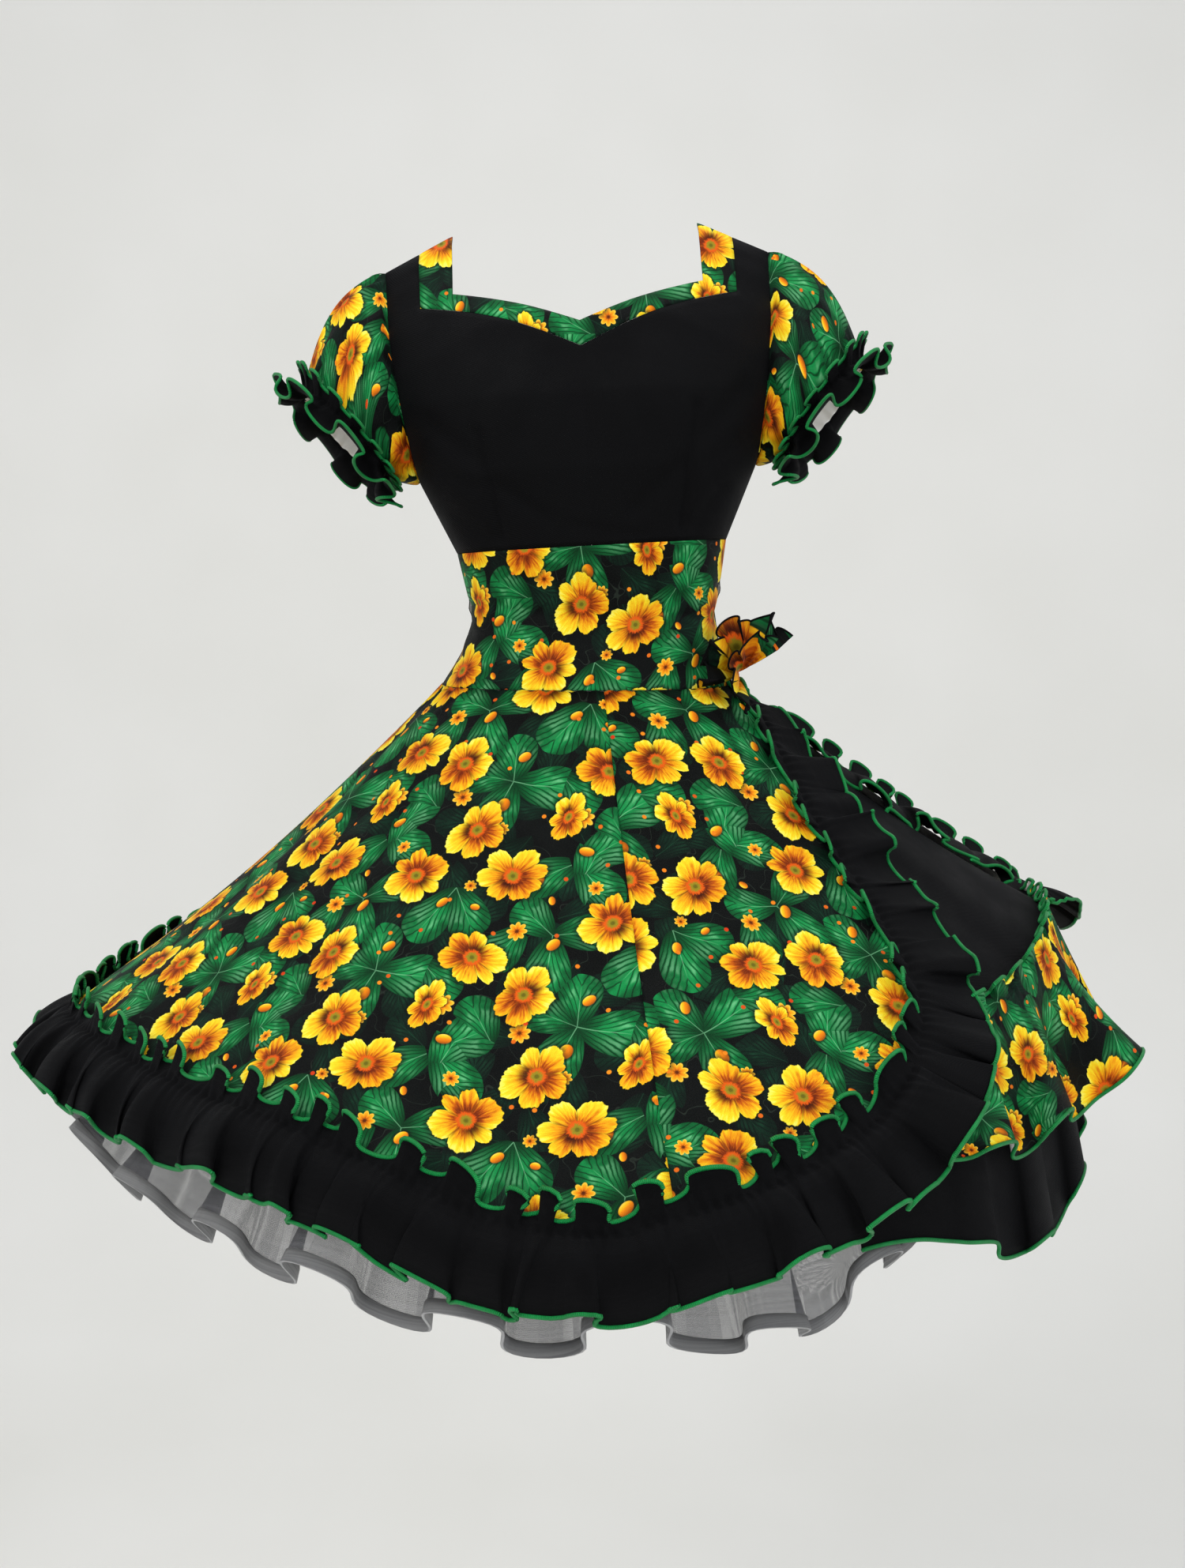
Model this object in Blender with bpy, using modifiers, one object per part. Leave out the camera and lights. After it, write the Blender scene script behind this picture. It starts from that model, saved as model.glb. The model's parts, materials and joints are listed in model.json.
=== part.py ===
"""The cueca dress, filled out as worn, in Blender 4.5.

Metres, +Z up. The front faces -Y and +X is to the right of someone who looks at the front, which is
the wearer's left. The origin is midway between the shoulder seams. Angles go round Z from the front
towards +X. Every piece of cloth is a sheet worked out from the sizes below and given its wall by a
Solidify modifier.
"""

from math import asin, cos, exp, hypot, pi, radians, sin

import bmesh
import bpy
from mathutils import Vector

WALL = 0.0015
SEAM = 0.0003

# The upper body leans to the viewer's left about the waist, as the dress is held.
LEAN = radians(3.1)
WAIST_X = 0.012
WAIST_Z = -0.43

# Neck and shoulder
STRAP_IN = 0.1376
STRAP_OUT = 0.1765
SHOULDER_HALF = 0.2156
SHOULDER_TOP = 0.022
SHOULDER_SLOPE = 0.455
NECK_CORNER_Z = -0.051
NECK_POINT_Z = -0.092
BAND_CORNER_Z = -0.064
BAND_POINT_Z = -0.117
BACK_NECK_Z = -0.085
BACK_BAND_Z = -0.119
BACK_STRAP_IN = 0.014
UNDERARM_Z = -0.25

# Seams down the body
BODICE_Z = -0.333
WAIST_SEAM_Z = -0.490
SQUARENESS = 2.4

# Sections of the body: height, half width, depth of the front, depth of the back
SECTIONS = [
    (-0.020, 0.2156, 0.060, 0.050),
    (-0.090, 0.2130, 0.095, 0.082),
    (-0.170, 0.2035, 0.120, 0.098),
    (-0.250, 0.1920, 0.127, 0.102),
    (-0.333, 0.1540, 0.118, 0.096),
    (-0.411, 0.1400, 0.104, 0.092),
    (-0.450, 0.1490, 0.112, 0.102),
    (-0.490, 0.1660, 0.127, 0.120),
]

# Rise of the chest and back from the shoulder seam: drop below the seam, share of the section's depth
OVER_SHOULDER = [(0.0, 0.0), (0.012, 0.40), (0.035, 0.68), (0.075, 0.88), (0.130, 1.0), (0.500, 1.0)]

# The skirt's hem by azimuth: degrees, radius, height
HEM = [
    (-180, 0.600, -0.850),
    (-90, 0.600, -0.852),
    (-45, 0.590, -0.850),
    (0, 0.604, -0.884),
    (40, 0.612, -0.850),
    (85, 0.628, -0.785),
    (125, 0.630, -0.795),
    (180, 0.600, -0.850),
]
SLANT = 0.56
SKIRT_FOLDS = 9
FOLD_HEIGHT = 0.0075

# Free edge of the front panel: share of the slant, azimuth in degrees. It runs from the waist to the hem.
FRONT_EDGE = [(0.0, 80), (0.12, 62), (0.30, 50), (0.55, 46), (0.78, 42), (0.92, 37), (1.0, 31)]
BACK_EDGE = [(0.0, 88), (0.20, 92), (0.50, 96), (1.0, 100)]
# Length of the front panel by azimuth: degrees, share of the slant
FRONT_LENGTH = [(-90, 0.985), (-52, 0.945), (-31, 0.955), (-18, 0.98), (0, 1.065), (12, 1.03), (22, 0.97), (31, 0.90)]

BACK_LENGTH = [(96, 0.80), (104, 0.87), (118, 0.95), (150, 0.975), (270, 0.985)]

# Layers under the skirt: how far under it at the waist and at the hem
UNDERSKIRT_IN = (0.0065, 0.016)
PETTICOAT_IN = (0.012, 0.064)
PETTICOAT_DIP = 0.072
UNDERSKIRT_END = 0.80

# Lower edge of the petticoat by azimuth: degrees, share of the skirt's slant
FRILL_EDGE = [
    (-180, 1.07), (-90, 1.07), (-50, 1.10), (-20, 1.11),
    (0, 1.12), (14, 1.12), (30, 1.04), (50, 0.94), (62, 0.92), (100, 0.92), (125, 1.0), (180, 1.07),
]
FRILL_TOP = 0.84

# Azimuth of the printed flounce's largest fold, in degrees
CREST_AT = 74

# Ruffles: header above the stitching, width below it
HEM_HEADER = 0.018
HEM_WIDTH = 0.074
HEM_WAVE = 0.090
SIDE_WIDTH = 0.066
CUFF_WIDTH = 0.031
CUFF_WAVES = 8
FRILL_LOOPS = 28

# Sleeves, on the viewer's right: middle, axis and radii of the cuff
CUFF_MIDDLE = Vector((0.274, -0.008, -0.194))
CUFF_AXIS = Vector((0.70, -0.20, -0.66)).normalized()
CUFF_ACROSS = 0.062
CUFF_DEEP = 0.064
PUFF = 0.027

# Bow: where it is gathered, the way it faces, and its fans
BOW_MIDDLE = Vector((0.184, -0.066, -0.480))
BOW_ANCHOR = (0.156, -0.478)
BOW_NECK = 0.0050
BOW_FACING = Vector((0.42, -0.90, 0.12)).normalized()
# Fans of the bow: name, radius, first and last angle in degrees, pleats, how far out it stands, depth of a pleat
BOW_FANS = [
    ("bow_back_fan", 0.066, -10, 136, 4, 0.000, 0.0100),
    ("bow_front_fan", 0.044, -60, 112, 4, 0.022, 0.0070),
]

# Columns of the bodice between the straps' outer edges, and the angle of those edges
CENTRE_CELLS = 12
SIDE_CELLS = 3
EDGE_SHARE = asin(STRAP_OUT / SHOULDER_HALF)

COLOURS = {
    "print": ((0.018, 0.060, 0.028, 1), 0.65),
    "black": ((0.006, 0.006, 0.007, 1), 0.75),
    "net": ((0.62, 0.62, 0.62, 1), 0.55),
}


def along(table, x, column=1):
    """A column of a table at x, smooth between its rows."""
    if x <= table[0][0]:
        return table[0][column]
    for low, high in zip(table, table[1:]):
        if x <= high[0]:
            t = (x - low[0]) / (high[0] - low[0])
            t = t * t * (3 - 2 * t)
            return low[column] + (high[column] - low[column]) * t
    return table[-1][column]


def straight(table, x, column=1):
    """A column of a table at x, straight between its rows."""
    x = min(max(x, table[0][0]), table[-1][0])
    for low, high in zip(table, table[1:]):
        if x <= high[0]:
            return low[column] + (high[column] - low[column]) * (x - low[0]) / (high[0] - low[0])
    return table[-1][column]


def mix(a, b, t):
    return a + (b - a) * t


def section(z, column):
    """Size of the body at a height. Rows run down, so the table is read by depth."""
    return straight([(-row[0], *row[1:]) for row in SECTIONS], -z, column)


def lean(point):
    """A point of the upright dress, leant above the waist."""
    x, y, z = point
    share = min(max((z - WAIST_SEAM_Z) / 0.10, 0.0), 1.0)
    angle = LEAN * share
    high = z - WAIST_Z
    shift = WAIST_X * share
    return Vector((shift + x * cos(angle) - high * sin(angle), y, WAIST_Z + x * sin(angle) + high * cos(angle)))


def shoulder_z(x):
    return SHOULDER_TOP - SHOULDER_SLOPE * (abs(x) - STRAP_IN)


def body(x, z, back=False):
    """The body's surface over a place x, z of the upright dress."""
    wide = section(z, 1)
    spare = 1 + 0.06 * sin(pi * min(max((z - UNDERARM_Z) / (-0.0135 - UNDERARM_Z), 0), 1))
    deep = section(z, 3 if back else 2)
    rise = straight(OVER_SHOULDER, max(shoulder_z(x) - z, 0.0))
    inside = max(1 - abs(x / (wide * spare)) ** SQUARENESS, 0.0)
    y = deep * rise * inside ** (1 / SQUARENESS)
    if not back:
        y += 0.012 * rise * exp(-(((abs(x) - 0.082) / 0.055) ** 2) - ((z + 0.185) / 0.065) ** 2)
    return lean((x, y if back else -y, z))


def hem_row(degrees):
    around = (degrees + 180) % 360 - 180
    return along(HEM, around, 1), along(HEM, around, 2)


def waist_point(degrees):
    """A point of the waist seam."""
    a = radians(degrees)
    z = WAIST_SEAM_Z - 0.0002
    wide = section(WAIST_SEAM_Z, 1)
    deep = section(WAIST_SEAM_Z, 2 if cos(a) > 0 else 3)
    s, c = sin(a), cos(a)
    scale = (abs(s) ** SQUARENESS + abs(c) ** SQUARENESS) ** (-1 / SQUARENESS)
    return Vector((wide * s * scale, -deep * c * scale, z))


def inside_waist(degrees, inward):
    """A point just inside the waist seam."""
    point = waist_point(degrees)
    ahead, behind = waist_point(degrees + 1), waist_point(degrees - 1)
    across = (ahead - behind).normalized()
    return point + Vector((0, 0, 1)).cross(across) * inward


def cone(degrees, share):
    """The skirt at an azimuth and a share of its slant, without folds."""
    radius, height = hem_row(degrees)
    a = radians(degrees)
    top = waist_point(degrees)
    low = Vector((radius * sin(a), -radius * cos(a), height))
    point = top.lerp(low, share)
    point.z -= 0.020 * sin(pi * min(share, 1.0))
    return point


def cone_normal(degrees, share):
    d = 1.0
    h = 0.02
    across = cone(degrees + d, share) - cone(degrees - d, share)
    down = cone(degrees, share + h) - cone(degrees, share - h)
    return down.cross(across).normalized()


def fold(degrees, share):
    """Height of the skirt's soft folds, none at the waist."""
    a = radians(degrees)
    wave = sin(SKIRT_FOLDS * a + 0.9 * sin(2 * a)) + 0.45 * sin(5 * a + 1.3)
    return FOLD_HEIGHT * wave * min(share, 1.1) ** 1.5


def skirt(degrees, share, under=0.0):
    """The skirt's outer face, or a layer that far under it."""
    return cone(degrees, share) + cone_normal(degrees, share) * (fold(degrees, share) - under)


def layer(depths, degrees, share):
    return skirt(degrees, share, mix(depths[0], depths[1], share))


def sheet(name, points, kind, outward=-1.0, missing=None, ring=False, wall=WALL, flip=False):
    """A cloth piece through a net of points, rows of columns, with a wall on one side."""
    mesh = bpy.data.meshes.new(name)
    bm = bmesh.new()
    rows = [[bm.verts.new(p) for p in row] for row in points]
    wide = len(points[0])
    for j in range(len(rows) - 1):
        for i in range(wide if ring else wide - 1):
            if missing and missing(i, j):
                continue
            k = (i + 1) % wide
            corners = [rows[j][i], rows[j + 1][i], rows[j + 1][k], rows[j][k]]
            bm.faces.new(corners[::-1] if flip else corners)
    for vert in [v for v in bm.verts if not v.link_faces]:
        bm.verts.remove(vert)
    bm.to_mesh(mesh)
    bm.free()
    mesh.shade_smooth()
    mesh.set_sharp_from_angle(angle=radians(60))
    obj = bpy.data.objects.new(name, mesh)
    dress.objects.link(obj)
    obj.data.materials.append(materials[kind])
    cloth = obj.modifiers.new("Wall", "SOLIDIFY")
    cloth.thickness = wall
    cloth.offset = outward
    cloth.use_quality_normals = True
    return obj


def spread(first, last, count):
    return [first + (last - first) * i / count for i in range(count + 1)]


def make_materials():
    made = {}
    for name, (colour, roughness) in COLOURS.items():
        material = bpy.data.materials.new(name)
        material.use_nodes = True
        shader = material.node_tree.nodes["Principled BSDF"]
        shader.inputs["Base Color"].default_value = colour
        shader.inputs["Roughness"].default_value = roughness
        shader.inputs["Metallic"].default_value = 0.0
        made[name] = material
    return made


def neck_in(x, back):
    """Lower or inner edge of the neck opening at x."""
    x = abs(x) / STRAP_IN
    if back:
        return BACK_NECK_Z
    return mix(NECK_POINT_Z, NECK_CORNER_Z, x) + 0.004 * sin(pi * x)


def band_low(x, back):
    """Outer edge of the neck band at x, where the bodice begins."""
    x = abs(x) / STRAP_OUT
    if back:
        return BACK_BAND_Z
    return mix(BAND_POINT_Z, BAND_CORNER_Z, x) + 0.009 * sin(pi * min(x, 1)) - 0.003 * cos(pi * x / 2)


def strap_x(z, w, back):
    """Distance of a strap from the middle: 0 is its inner edge and 1 its outer one."""
    narrow = BACK_STRAP_IN * min(max(SHOULDER_TOP - z, 0) / 0.05, 1) if back else 0
    return mix(STRAP_IN + narrow, STRAP_OUT * armhole(z) / SHOULDER_HALF - 2 * SEAM, w)


def off_shoulder(point, at_seam, back):
    """Front and back stop short of the shoulder seam by half its gap."""
    if at_seam:
        point.y += 0.0010 if back else -0.0010
    return point


def neck_band(back):
    """Two straps and the piece between them, in one strip of rows across the band."""
    def strap(side):
        pieces = []
        for t in spread(0, 1, 4)[:-1]:
            row = []
            for w in spread(0, 1, 2):
                corner = mix(neck_in(STRAP_IN, back), band_low(STRAP_OUT, back) + SEAM, w)
                z = mix(shoulder_z(STRAP_OUT * w + STRAP_IN * (1 - w)) - 0.0016, corner, t)
                x = side * strap_x(z, w, back)
                row.append(off_shoulder(body(x, z, back), t == 0, back))
            pieces.append(row)
        return pieces

    across = []
    for a in spread(-EDGE_SHARE, EDGE_SHARE, CENTRE_CELLS):
        c = sin(a) / sin(EDGE_SHARE)
        row = []
        for w in spread(0, 1, 2):
            x = c * strap_x(band_low(STRAP_OUT, back), w, back)
            z = mix(neck_in(c * STRAP_IN, back), band_low(c * STRAP_OUT, back) + SEAM, w)
            row.append(body(x, z, back))
        across.append(row)
    left, right = strap(-1), strap(1)
    strip = left + across + right[::-1]
    name = "neck_band_back" if back else "neck_band_front"
    return sheet(name, strip, "print", flip=back)


def across_body(centre_cells, side_cells):
    """Columns of the body as angles from -90 to 90 degrees, with one at each edge of the neck band."""
    side = spread(EDGE_SHARE, pi / 2, side_cells)
    centre = spread(-EDGE_SHARE, EDGE_SHARE, centre_cells)
    return [-a for a in side[::-1]][:-1] + centre + side[1:]


def armhole(z):
    """Half width of the bodice at a height."""
    return section(z, 1)


def bodice_net(columns, back, rows_up=3, rows_down=6):
    """Points of a bodice half: rows up to the shoulder, then rows down to the midriff."""
    net = []
    for j in range(rows_up + rows_down + 1):
        row = []
        for a in columns:
            c = sin(a)
            shoulder = shoulder_z(c * SHOULDER_HALF) - 0.0016
            side = abs(a) >= EDGE_SHARE - 1e-6
            start = band_low(STRAP_OUT, back) if side else band_low(c * SHOULDER_HALF, back)
            if j < rows_up:
                z = mix(shoulder, start, j / rows_up)
            else:
                z = mix(start, BODICE_Z + SEAM, (j - rows_up) / rows_down)
            x = c * armhole(z)
            row.append(off_shoulder(body(x, z, back), j == 0, back))
        net.append(row)
    return net


def bodice():
    columns = across_body(CENTRE_CELLS, SIDE_CELLS)
    dip = len(columns)

    def gone(i, j):
        return j < 3 and 3 <= i < dip - 4

    front = bodice_net(columns, False)
    for j, row in enumerate(front):
        down = max(j - 4, 0) / 5
        for i, a in enumerate(columns):
            side = abs(sin(a)) * 0.16
            row[i].y += 0.006 * down * exp(-(((side - 0.088) / 0.012) ** 2))
    sheet("bodice_front", front, "black", missing=gone)
    half = (dip - 1) // 2
    back = bodice_net(columns, True)
    middle = [SEAM / 2 * s for s in (-1, 1)]
    left = [[p.copy() for p in row[: half + 1]] for row in back]
    right = [[p.copy() for p in row[half:]] for row in back]
    for row in left:
        row[-1].x += middle[0] - 0.0004
    for row in right:
        row[0].x += middle[1] + 0.0004
    sheet("bodice_back_left", left, "black", missing=lambda i, j: j < 3 and i >= 3, flip=True)
    sheet("bodice_back_right", right, "black", missing=lambda i, j: j < 3 and i < half - 3, flip=True)
    for name, flip in (("bodice_front", 1), ("bodice_back_left", -1), ("bodice_back_right", -1)):
        trim_sides(bpy.data.objects[name], flip)


def trim_sides(obj, front):
    """Moves the side edges off the side seam by half the gap."""
    for vert in obj.data.vertices:
        if abs(vert.co.y) < 0.0006 and vert.co.z < UNDERARM_Z + 0.05:
            vert.co.y -= front * 0.0004


def midriff():
    for back in (False, True):
        net = []
        for z in spread(BODICE_Z - SEAM, WAIST_SEAM_Z + SEAM, 5):
            row = []
            for a in spread(-pi / 2, pi / 2, 14):
                row.append(body(sin(a) * section(z, 1), z, back))
            net.append(row)
        for row in net:
            for p in (row[0], row[-1]):
                p.y += 0.0004 if back else -0.0004
        sheet("midriff_back" if back else "midriff_front", net, "print", flip=back)


def skirt_panels():
    """Four gores. The opening lies between the front right one and the back right one."""
    gap = 0.03
    gores = {
        "skirt_front_left": (lambda s: -90 + gap, lambda s: 7 - gap, 18),
        "skirt_front_right": (lambda s: 7 + gap, lambda s: straight(FRONT_EDGE, s), 12),
        "skirt_back_left": (lambda s: -180 + gap, lambda s: -90 - gap, 17),
        "skirt_back_right": (lambda s: straight(BACK_EDGE, s), lambda s: 180 - gap, 16),
    }
    for name, (first, last, cells) in gores.items():
        net = []
        for v in spread(0, 1, 5):
            row = []
            for u in spread(0, 1, cells):
                degrees = mix(first(v), last(v), u)
                row.append(skirt(degrees, v * panel_length(mix(first(1), last(1), u))))
            net.append(row)
        sheet(name, net, "print")


def panel_length(degrees):
    """Share of the slant at which a panel ends."""
    if degrees < -90:
        degrees += 360
    return straight(BACK_LENGTH if degrees > 60 else FRONT_LENGTH, degrees)


def front_path(t):
    """Edge of the front panels from the left side seam, along the hem, round the corner, to the waist."""
    hem_share = 0.72
    if t <= hem_share:
        degrees = mix(-90, straight(FRONT_EDGE, 1), t / hem_share)
        return degrees, panel_length(degrees)
    v = 1 - (t - hem_share) / (1 - hem_share)
    return straight(FRONT_EDGE, v), v * panel_length(straight(FRONT_EDGE, 1))


def rounded(path, t, soft=0.022):
    """A path with its corners rounded by a running mean."""
    soft = min(soft, t, 1 - t)
    near = [path(t + soft * k / 4) for k in range(-4, 5)]
    return sum(p[0] for p in near) / 9, sum(p[1] for p in near) / 9


def back_path(t):
    """Edge of the back panels from the waist, down the opening, round the corner and back to the left side seam."""
    side_share = 0.15
    if t < side_share:
        v = mix(0.16, 1, t / side_share)
        return straight(BACK_EDGE, v), v * panel_length(straight(BACK_EDGE, 1))
    degrees = mix(straight(BACK_EDGE, 1), 270, (t - side_share) / (1 - side_share))
    return degrees, panel_length(degrees)


def ruffle_line(path, count, soft=0.0):
    """Places along a path on the skirt, evenly spaced: point, way out of the panel and normal."""
    fine = 400
    samples = []
    for i in range(fine + 1):
        t = i / fine
        degrees, share = rounded(path, t, soft) if soft else path(t)
        samples.append((degrees, share, skirt(degrees, share)))
    far = [0.0]
    for a, b in zip(samples, samples[1:]):
        far.append(far[-1] + (b[2] - a[2]).length)
    line = []
    k = 0
    for i in range(count + 1):
        want = far[-1] * i / count
        while k < fine - 1 and far[k + 1] < want:
            k += 1
        t = (want - far[k]) / max(far[k + 1] - far[k], 1e-9)
        a, b = samples[k], samples[k + 1]
        degrees, share = mix(a[0], b[0], t), mix(a[1], b[1], t)
        tangent = (b[2] - a[2]).normalized()
        normal = cone_normal(degrees, share)
        line.append((skirt(degrees, share), tangent, normal, want))
    return line, far[-1]


def ruffle(name, line, width, down_share, phase_from, front_droop, high=0.016):
    """A gathered strip on a line: a wavy header, a flat stitched row and a free edge in deeper waves."""
    rows = (0.45, 1.0)
    net = [[] for _ in range(2 + len(rows))]
    for point, tangent, normal, far in line:
        fall = (normal * normal.z - Vector((0, 0, 1))).normalized()
        from_seam = min(abs(far - phase_from) / 0.18, 1.0)
        out = fall.lerp(tangent.cross(normal), from_seam).normalized()
        phase = 2 * pi * (far - phase_from) / HEM_WAVE
        uneven = phase + 0.7 * sin(phase * 0.23 + 1.1)
        wide = width(far)
        share = wide / HEM_WIDTH
        droop = 0.15 + front_droop * max(-normal.y / hypot(normal.x, normal.y), 0.0)
        droop *= down_share(far)
        net[0].append(point - out * HEM_HEADER + normal * (0.0018 + 0.0110 * (0.5 + 0.5 * sin(uneven))))
        net[1].append(point + normal * (0.0013 + 0.0010 * (0.5 + 0.5 * sin(uneven))))
        for j, v in enumerate(rows):
            reach = out * cos(droop * v) - normal * sin(droop * v)
            broad = 0.62 * sin(uneven / 2 + 0.6) + 0.38 * sin(uneven + 0.4)
            lift = 0.0035 + high * share * v ** 0.8 * (0.55 + 0.75 * broad)
            swing = tangent * (0.16 * high * v * sin(uneven + 1.2))
            net[2 + j].append(point + reach * (wide * v) + normal * lift + swing)
    sheet(name, net, "black", outward=1.0, wall=0.0012)


def split_ruffle(path, count, split, names, side_end):
    """One strip along a panel's edge, in two pieces that meet at place number split."""
    line, length = ruffle_line(path, count, 0.03 if side_end else 0.012)
    corner = line[split][3]

    def wide(far):
        to_end = length - far if side_end else far
        share = min(max((far - corner + 0.10) / 0.20, 0.0), 1.0)
        side = SIDE_WIDTH * (0.33 + 0.67 * min(to_end / 0.14, 1.0))
        return mix(HEM_WIDTH, side, share if side_end else 1 - share)

    def down(far):
        into = (corner - far if side_end else far - corner) / 0.25
        return min(max(into, 0.0), 1.0)

    phase_from = 0.0 if side_end else length
    parts = [line[: split + 1], line[split:]]
    for cut, name in zip(parts, names):
        cut = list(cut)
        if cut[0][3] > 0:
            point, tangent, normal, far = cut[0]
            cut[0] = (point + tangent * 0.0006, tangent, normal, far)
        if not side_end and cut[-1][3] >= length - 1e-9:
            point, tangent, normal, far = cut[-1]
            cut[-1] = (point - tangent * 0.0006, tangent, normal, far)
        ruffle(name, cut, wide, down, phase_from, 0.50 if side_end else 0.0)


def hem_and_side_ruffles():
    split_ruffle(front_path, 126, 88, ("hem_ruffle_front", "side_ruffle_front"), True)
    split_ruffle(back_path, 176, 24, ("side_ruffle_back", "hem_ruffle_back"), False)


def underskirt():
    net = [[inside_waist(d, 0.0029) for d in spread(24, 128, 16)]]
    for s in (0.05, 0.2, 0.4, 0.6, UNDERSKIRT_END):
        net.append([layer(UNDERSKIRT_IN, d, s) for d in spread(24, 128, 16)])
    sheet("underskirt", net, "black")


def between(x, low, low_full, high_full, high):
    """0 outside low and high, 1 inside their full values, smooth between."""
    into = min(max((x - low) / (low_full - low), 0), 1) * min(max((high - x) / (high - high_full), 0), 1)
    return into * into * (3 - 2 * into)


def free(degrees):
    """1 in the side opening and 0 under the panels beside it."""
    return between(degrees, 34, 50, 90, 104)


def flounce(name, kind, top, low, above, high, drop, first, last, header=0.0, crest=0.0, columns=32, waves=6):
    """A gathered tier under the opening, wavier towards its lower edge; above is its height over the underskirt."""
    shares = spread(top, low, 4)
    if header:
        shares = [top - header / SLANT] + shares
    net = []
    for s in shares:
        v = max((s - top) / (low - top), 0.0)
        row = []
        for degrees in spread(first, last, columns):
            u = (degrees - first) / (last - first)
            phase = 2 * pi * waves * u + 0.8 * sin(5 * u)
            calm = free(degrees)
            edge = 0.008 * calm * (0.5 + 0.5 * sin(2 * phase)) if s < top else 0.0
            lift = above + edge + high * calm * v * sin(phase)
            push = crest * v * v * exp(-(((degrees - CREST_AT) / 9) ** 2))
            a = radians(degrees)
            point = layer(UNDERSKIRT_IN, degrees, s) + cone_normal(degrees, s) * lift
            down = drop * v ** 1.1 * (0.56 + 0.44 * between(degrees, 27, 60, 400, 401))
            row.append(point + Vector((push * sin(a), -push * cos(a), -down)))
        net.append(row)
    sheet(name, net, kind, outward=1.0 if above > 0 else -1.0, wall=0.0012)


def petticoat_point(degrees, share):
    """The petticoat's outer face, lower where the flounces hang over it."""
    dip = PETTICOAT_DIP * share * between(degrees, 2, 24, 108, 128)
    return layer(PETTICOAT_IN, degrees, share) - cone_normal(degrees, share) * dip


def petticoat():
    turns = spread(-180, 180, 42)[:-1]
    net = [[inside_waist(d, 0.0057) for d in turns]]
    for s in spread(0.05, FRILL_TOP - 0.0012, 3):
        net.append([petticoat_point(d, s) for d in turns])
    sheet("petticoat_cone", net, "net", ring=True, wall=0.001)
    columns = FRILL_LOOPS * 6
    net = [[], [], []]
    for i in range(columns):
        u = i / columns
        phase = 2 * pi * FRILL_LOOPS * u
        degrees = 360 * u - 180
        for j, high in enumerate((0.0, 0.55, 1.0)):
            share = mix(FRILL_TOP, along(FRILL_EDGE, degrees), high)
            swing = -0.95 * high * sin(2 * phase)
            place = petticoat_point(degrees + swing, share)
            place += cone_normal(degrees, share) * (0.019 * high * sin(phase) - 0.006 * high)
            place.z -= 0.014 * high
            net[j].append(place)
    sheet("petticoat_frill", net, "net", ring=True, wall=0.001)


def armhole_point(side, turn):
    """A point of the armhole: turn 0 is the shoulder, a quarter the front, a half the underarm."""
    t = turn % 1.0
    back = t > 0.5
    down = 2 * t if not back else 2 - 2 * t
    z = mix(shoulder_z(SHOULDER_HALF) - 0.0016, UNDERARM_Z, (1 - cos(pi * down)) / 2)
    return body(side * armhole(z), z, back)


def cuff_frame(side):
    """Middle, axis and the two ways across a cuff, on the upright dress."""
    flip = Vector((side, 1, 1))
    axis = CUFF_AXIS * flip
    up = Vector((-axis.z * side, 0, abs(axis.x)))
    up = (up - axis * up.dot(axis)).normalized()
    front = axis.cross(up).normalized()
    if front.y > 0:
        front = -front
    return CUFF_MIDDLE * flip, axis, up, front


def cuff_point(side, turn):
    middle, axis, up, front = cuff_frame(side)
    a = 2 * pi * turn
    return lean(middle + up * CUFF_ACROSS * cos(a) + front * CUFF_DEEP * sin(a))


def sleeve_point(side, turn, v):
    """The sleeve's outer face: gathered at the head and the cuff, puffed between."""
    top, low = armhole_point(side, turn), cuff_point(side, turn)
    middle, axis, up, front = cuff_frame(side)
    a = 2 * pi * turn
    out = (up * cos(a) + front * sin(a)).normalized()
    full = PUFF * (0.62 + 0.38 * cos(a)) * sin(pi * v ** 0.85)
    gather = 0.0022 * sin(16 * a) * (abs(2 * v - 1) ** 1.5) * sin(pi * min(v * 6, 1) / 2)
    start = Vector((side * 0.0009, 0, 0)) * (1 - v)
    return top.lerp(low, v) + out * (full + gather) + start


def sleeves():
    for side, name in ((-1, "left"), (1, "right")):
        net = []
        for v in spread(0, 1, 5):
            net.append([sleeve_point(side, i / 26, v) for i in range(26)])
        sheet(f"sleeve_{name}", net, "print", ring=True, flip=side > 0)
        cuff(side, f"cuff_ruffle_{name}")


def cuff(side, name):
    """Deep folds round the cuff, with a header lying on the sleeve."""
    middle, axis, up, front = cuff_frame(side)
    columns = CUFF_WAVES * 6
    net = [[], [], [], []]
    for i in range(columns):
        turn = i / columns
        a = 2 * pi * turn
        out = (up * cos(a) + front * sin(a)).normalized()
        round_it = (front * cos(a) - up * sin(a)).normalized()
        phase = 2 * pi * CUFF_WAVES * turn + 0.5 * sin(a * 2)
        base = sleeve_point(side, turn, 0.97)
        wave = 0.5 + 0.5 * sin(phase)
        net[0].append(sleeve_point(side, turn, 0.88) + out * (0.0018 + 0.010 * wave))
        net[1].append(base + out * (0.0022 + 0.0020 * wave))
        for j, v in enumerate((0.5, 1.0)):
            swing = round_it * (-0.0052 * v * sin(2 * phase))
            reach = axis * CUFF_WIDTH * v * (1 + 0.06 * sin(3 * a))
            net[2 + j].append(base + reach + out * (0.003 + 0.019 * v * (wave - 0.25)) + swing)
    sheet(name, net, "black", outward=1.0, ring=True, wall=0.0012, flip=side > 0)


def bow_anchor():
    """Where the bow is sewn on the waist, and the way out of the cloth there."""
    x, z = BOW_ANCHOR
    across = body(x + 0.002, z) - body(x - 0.002, z)
    return body(x, z), Vector((-across.y, across.x, 0)).normalized() * -1


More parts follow.
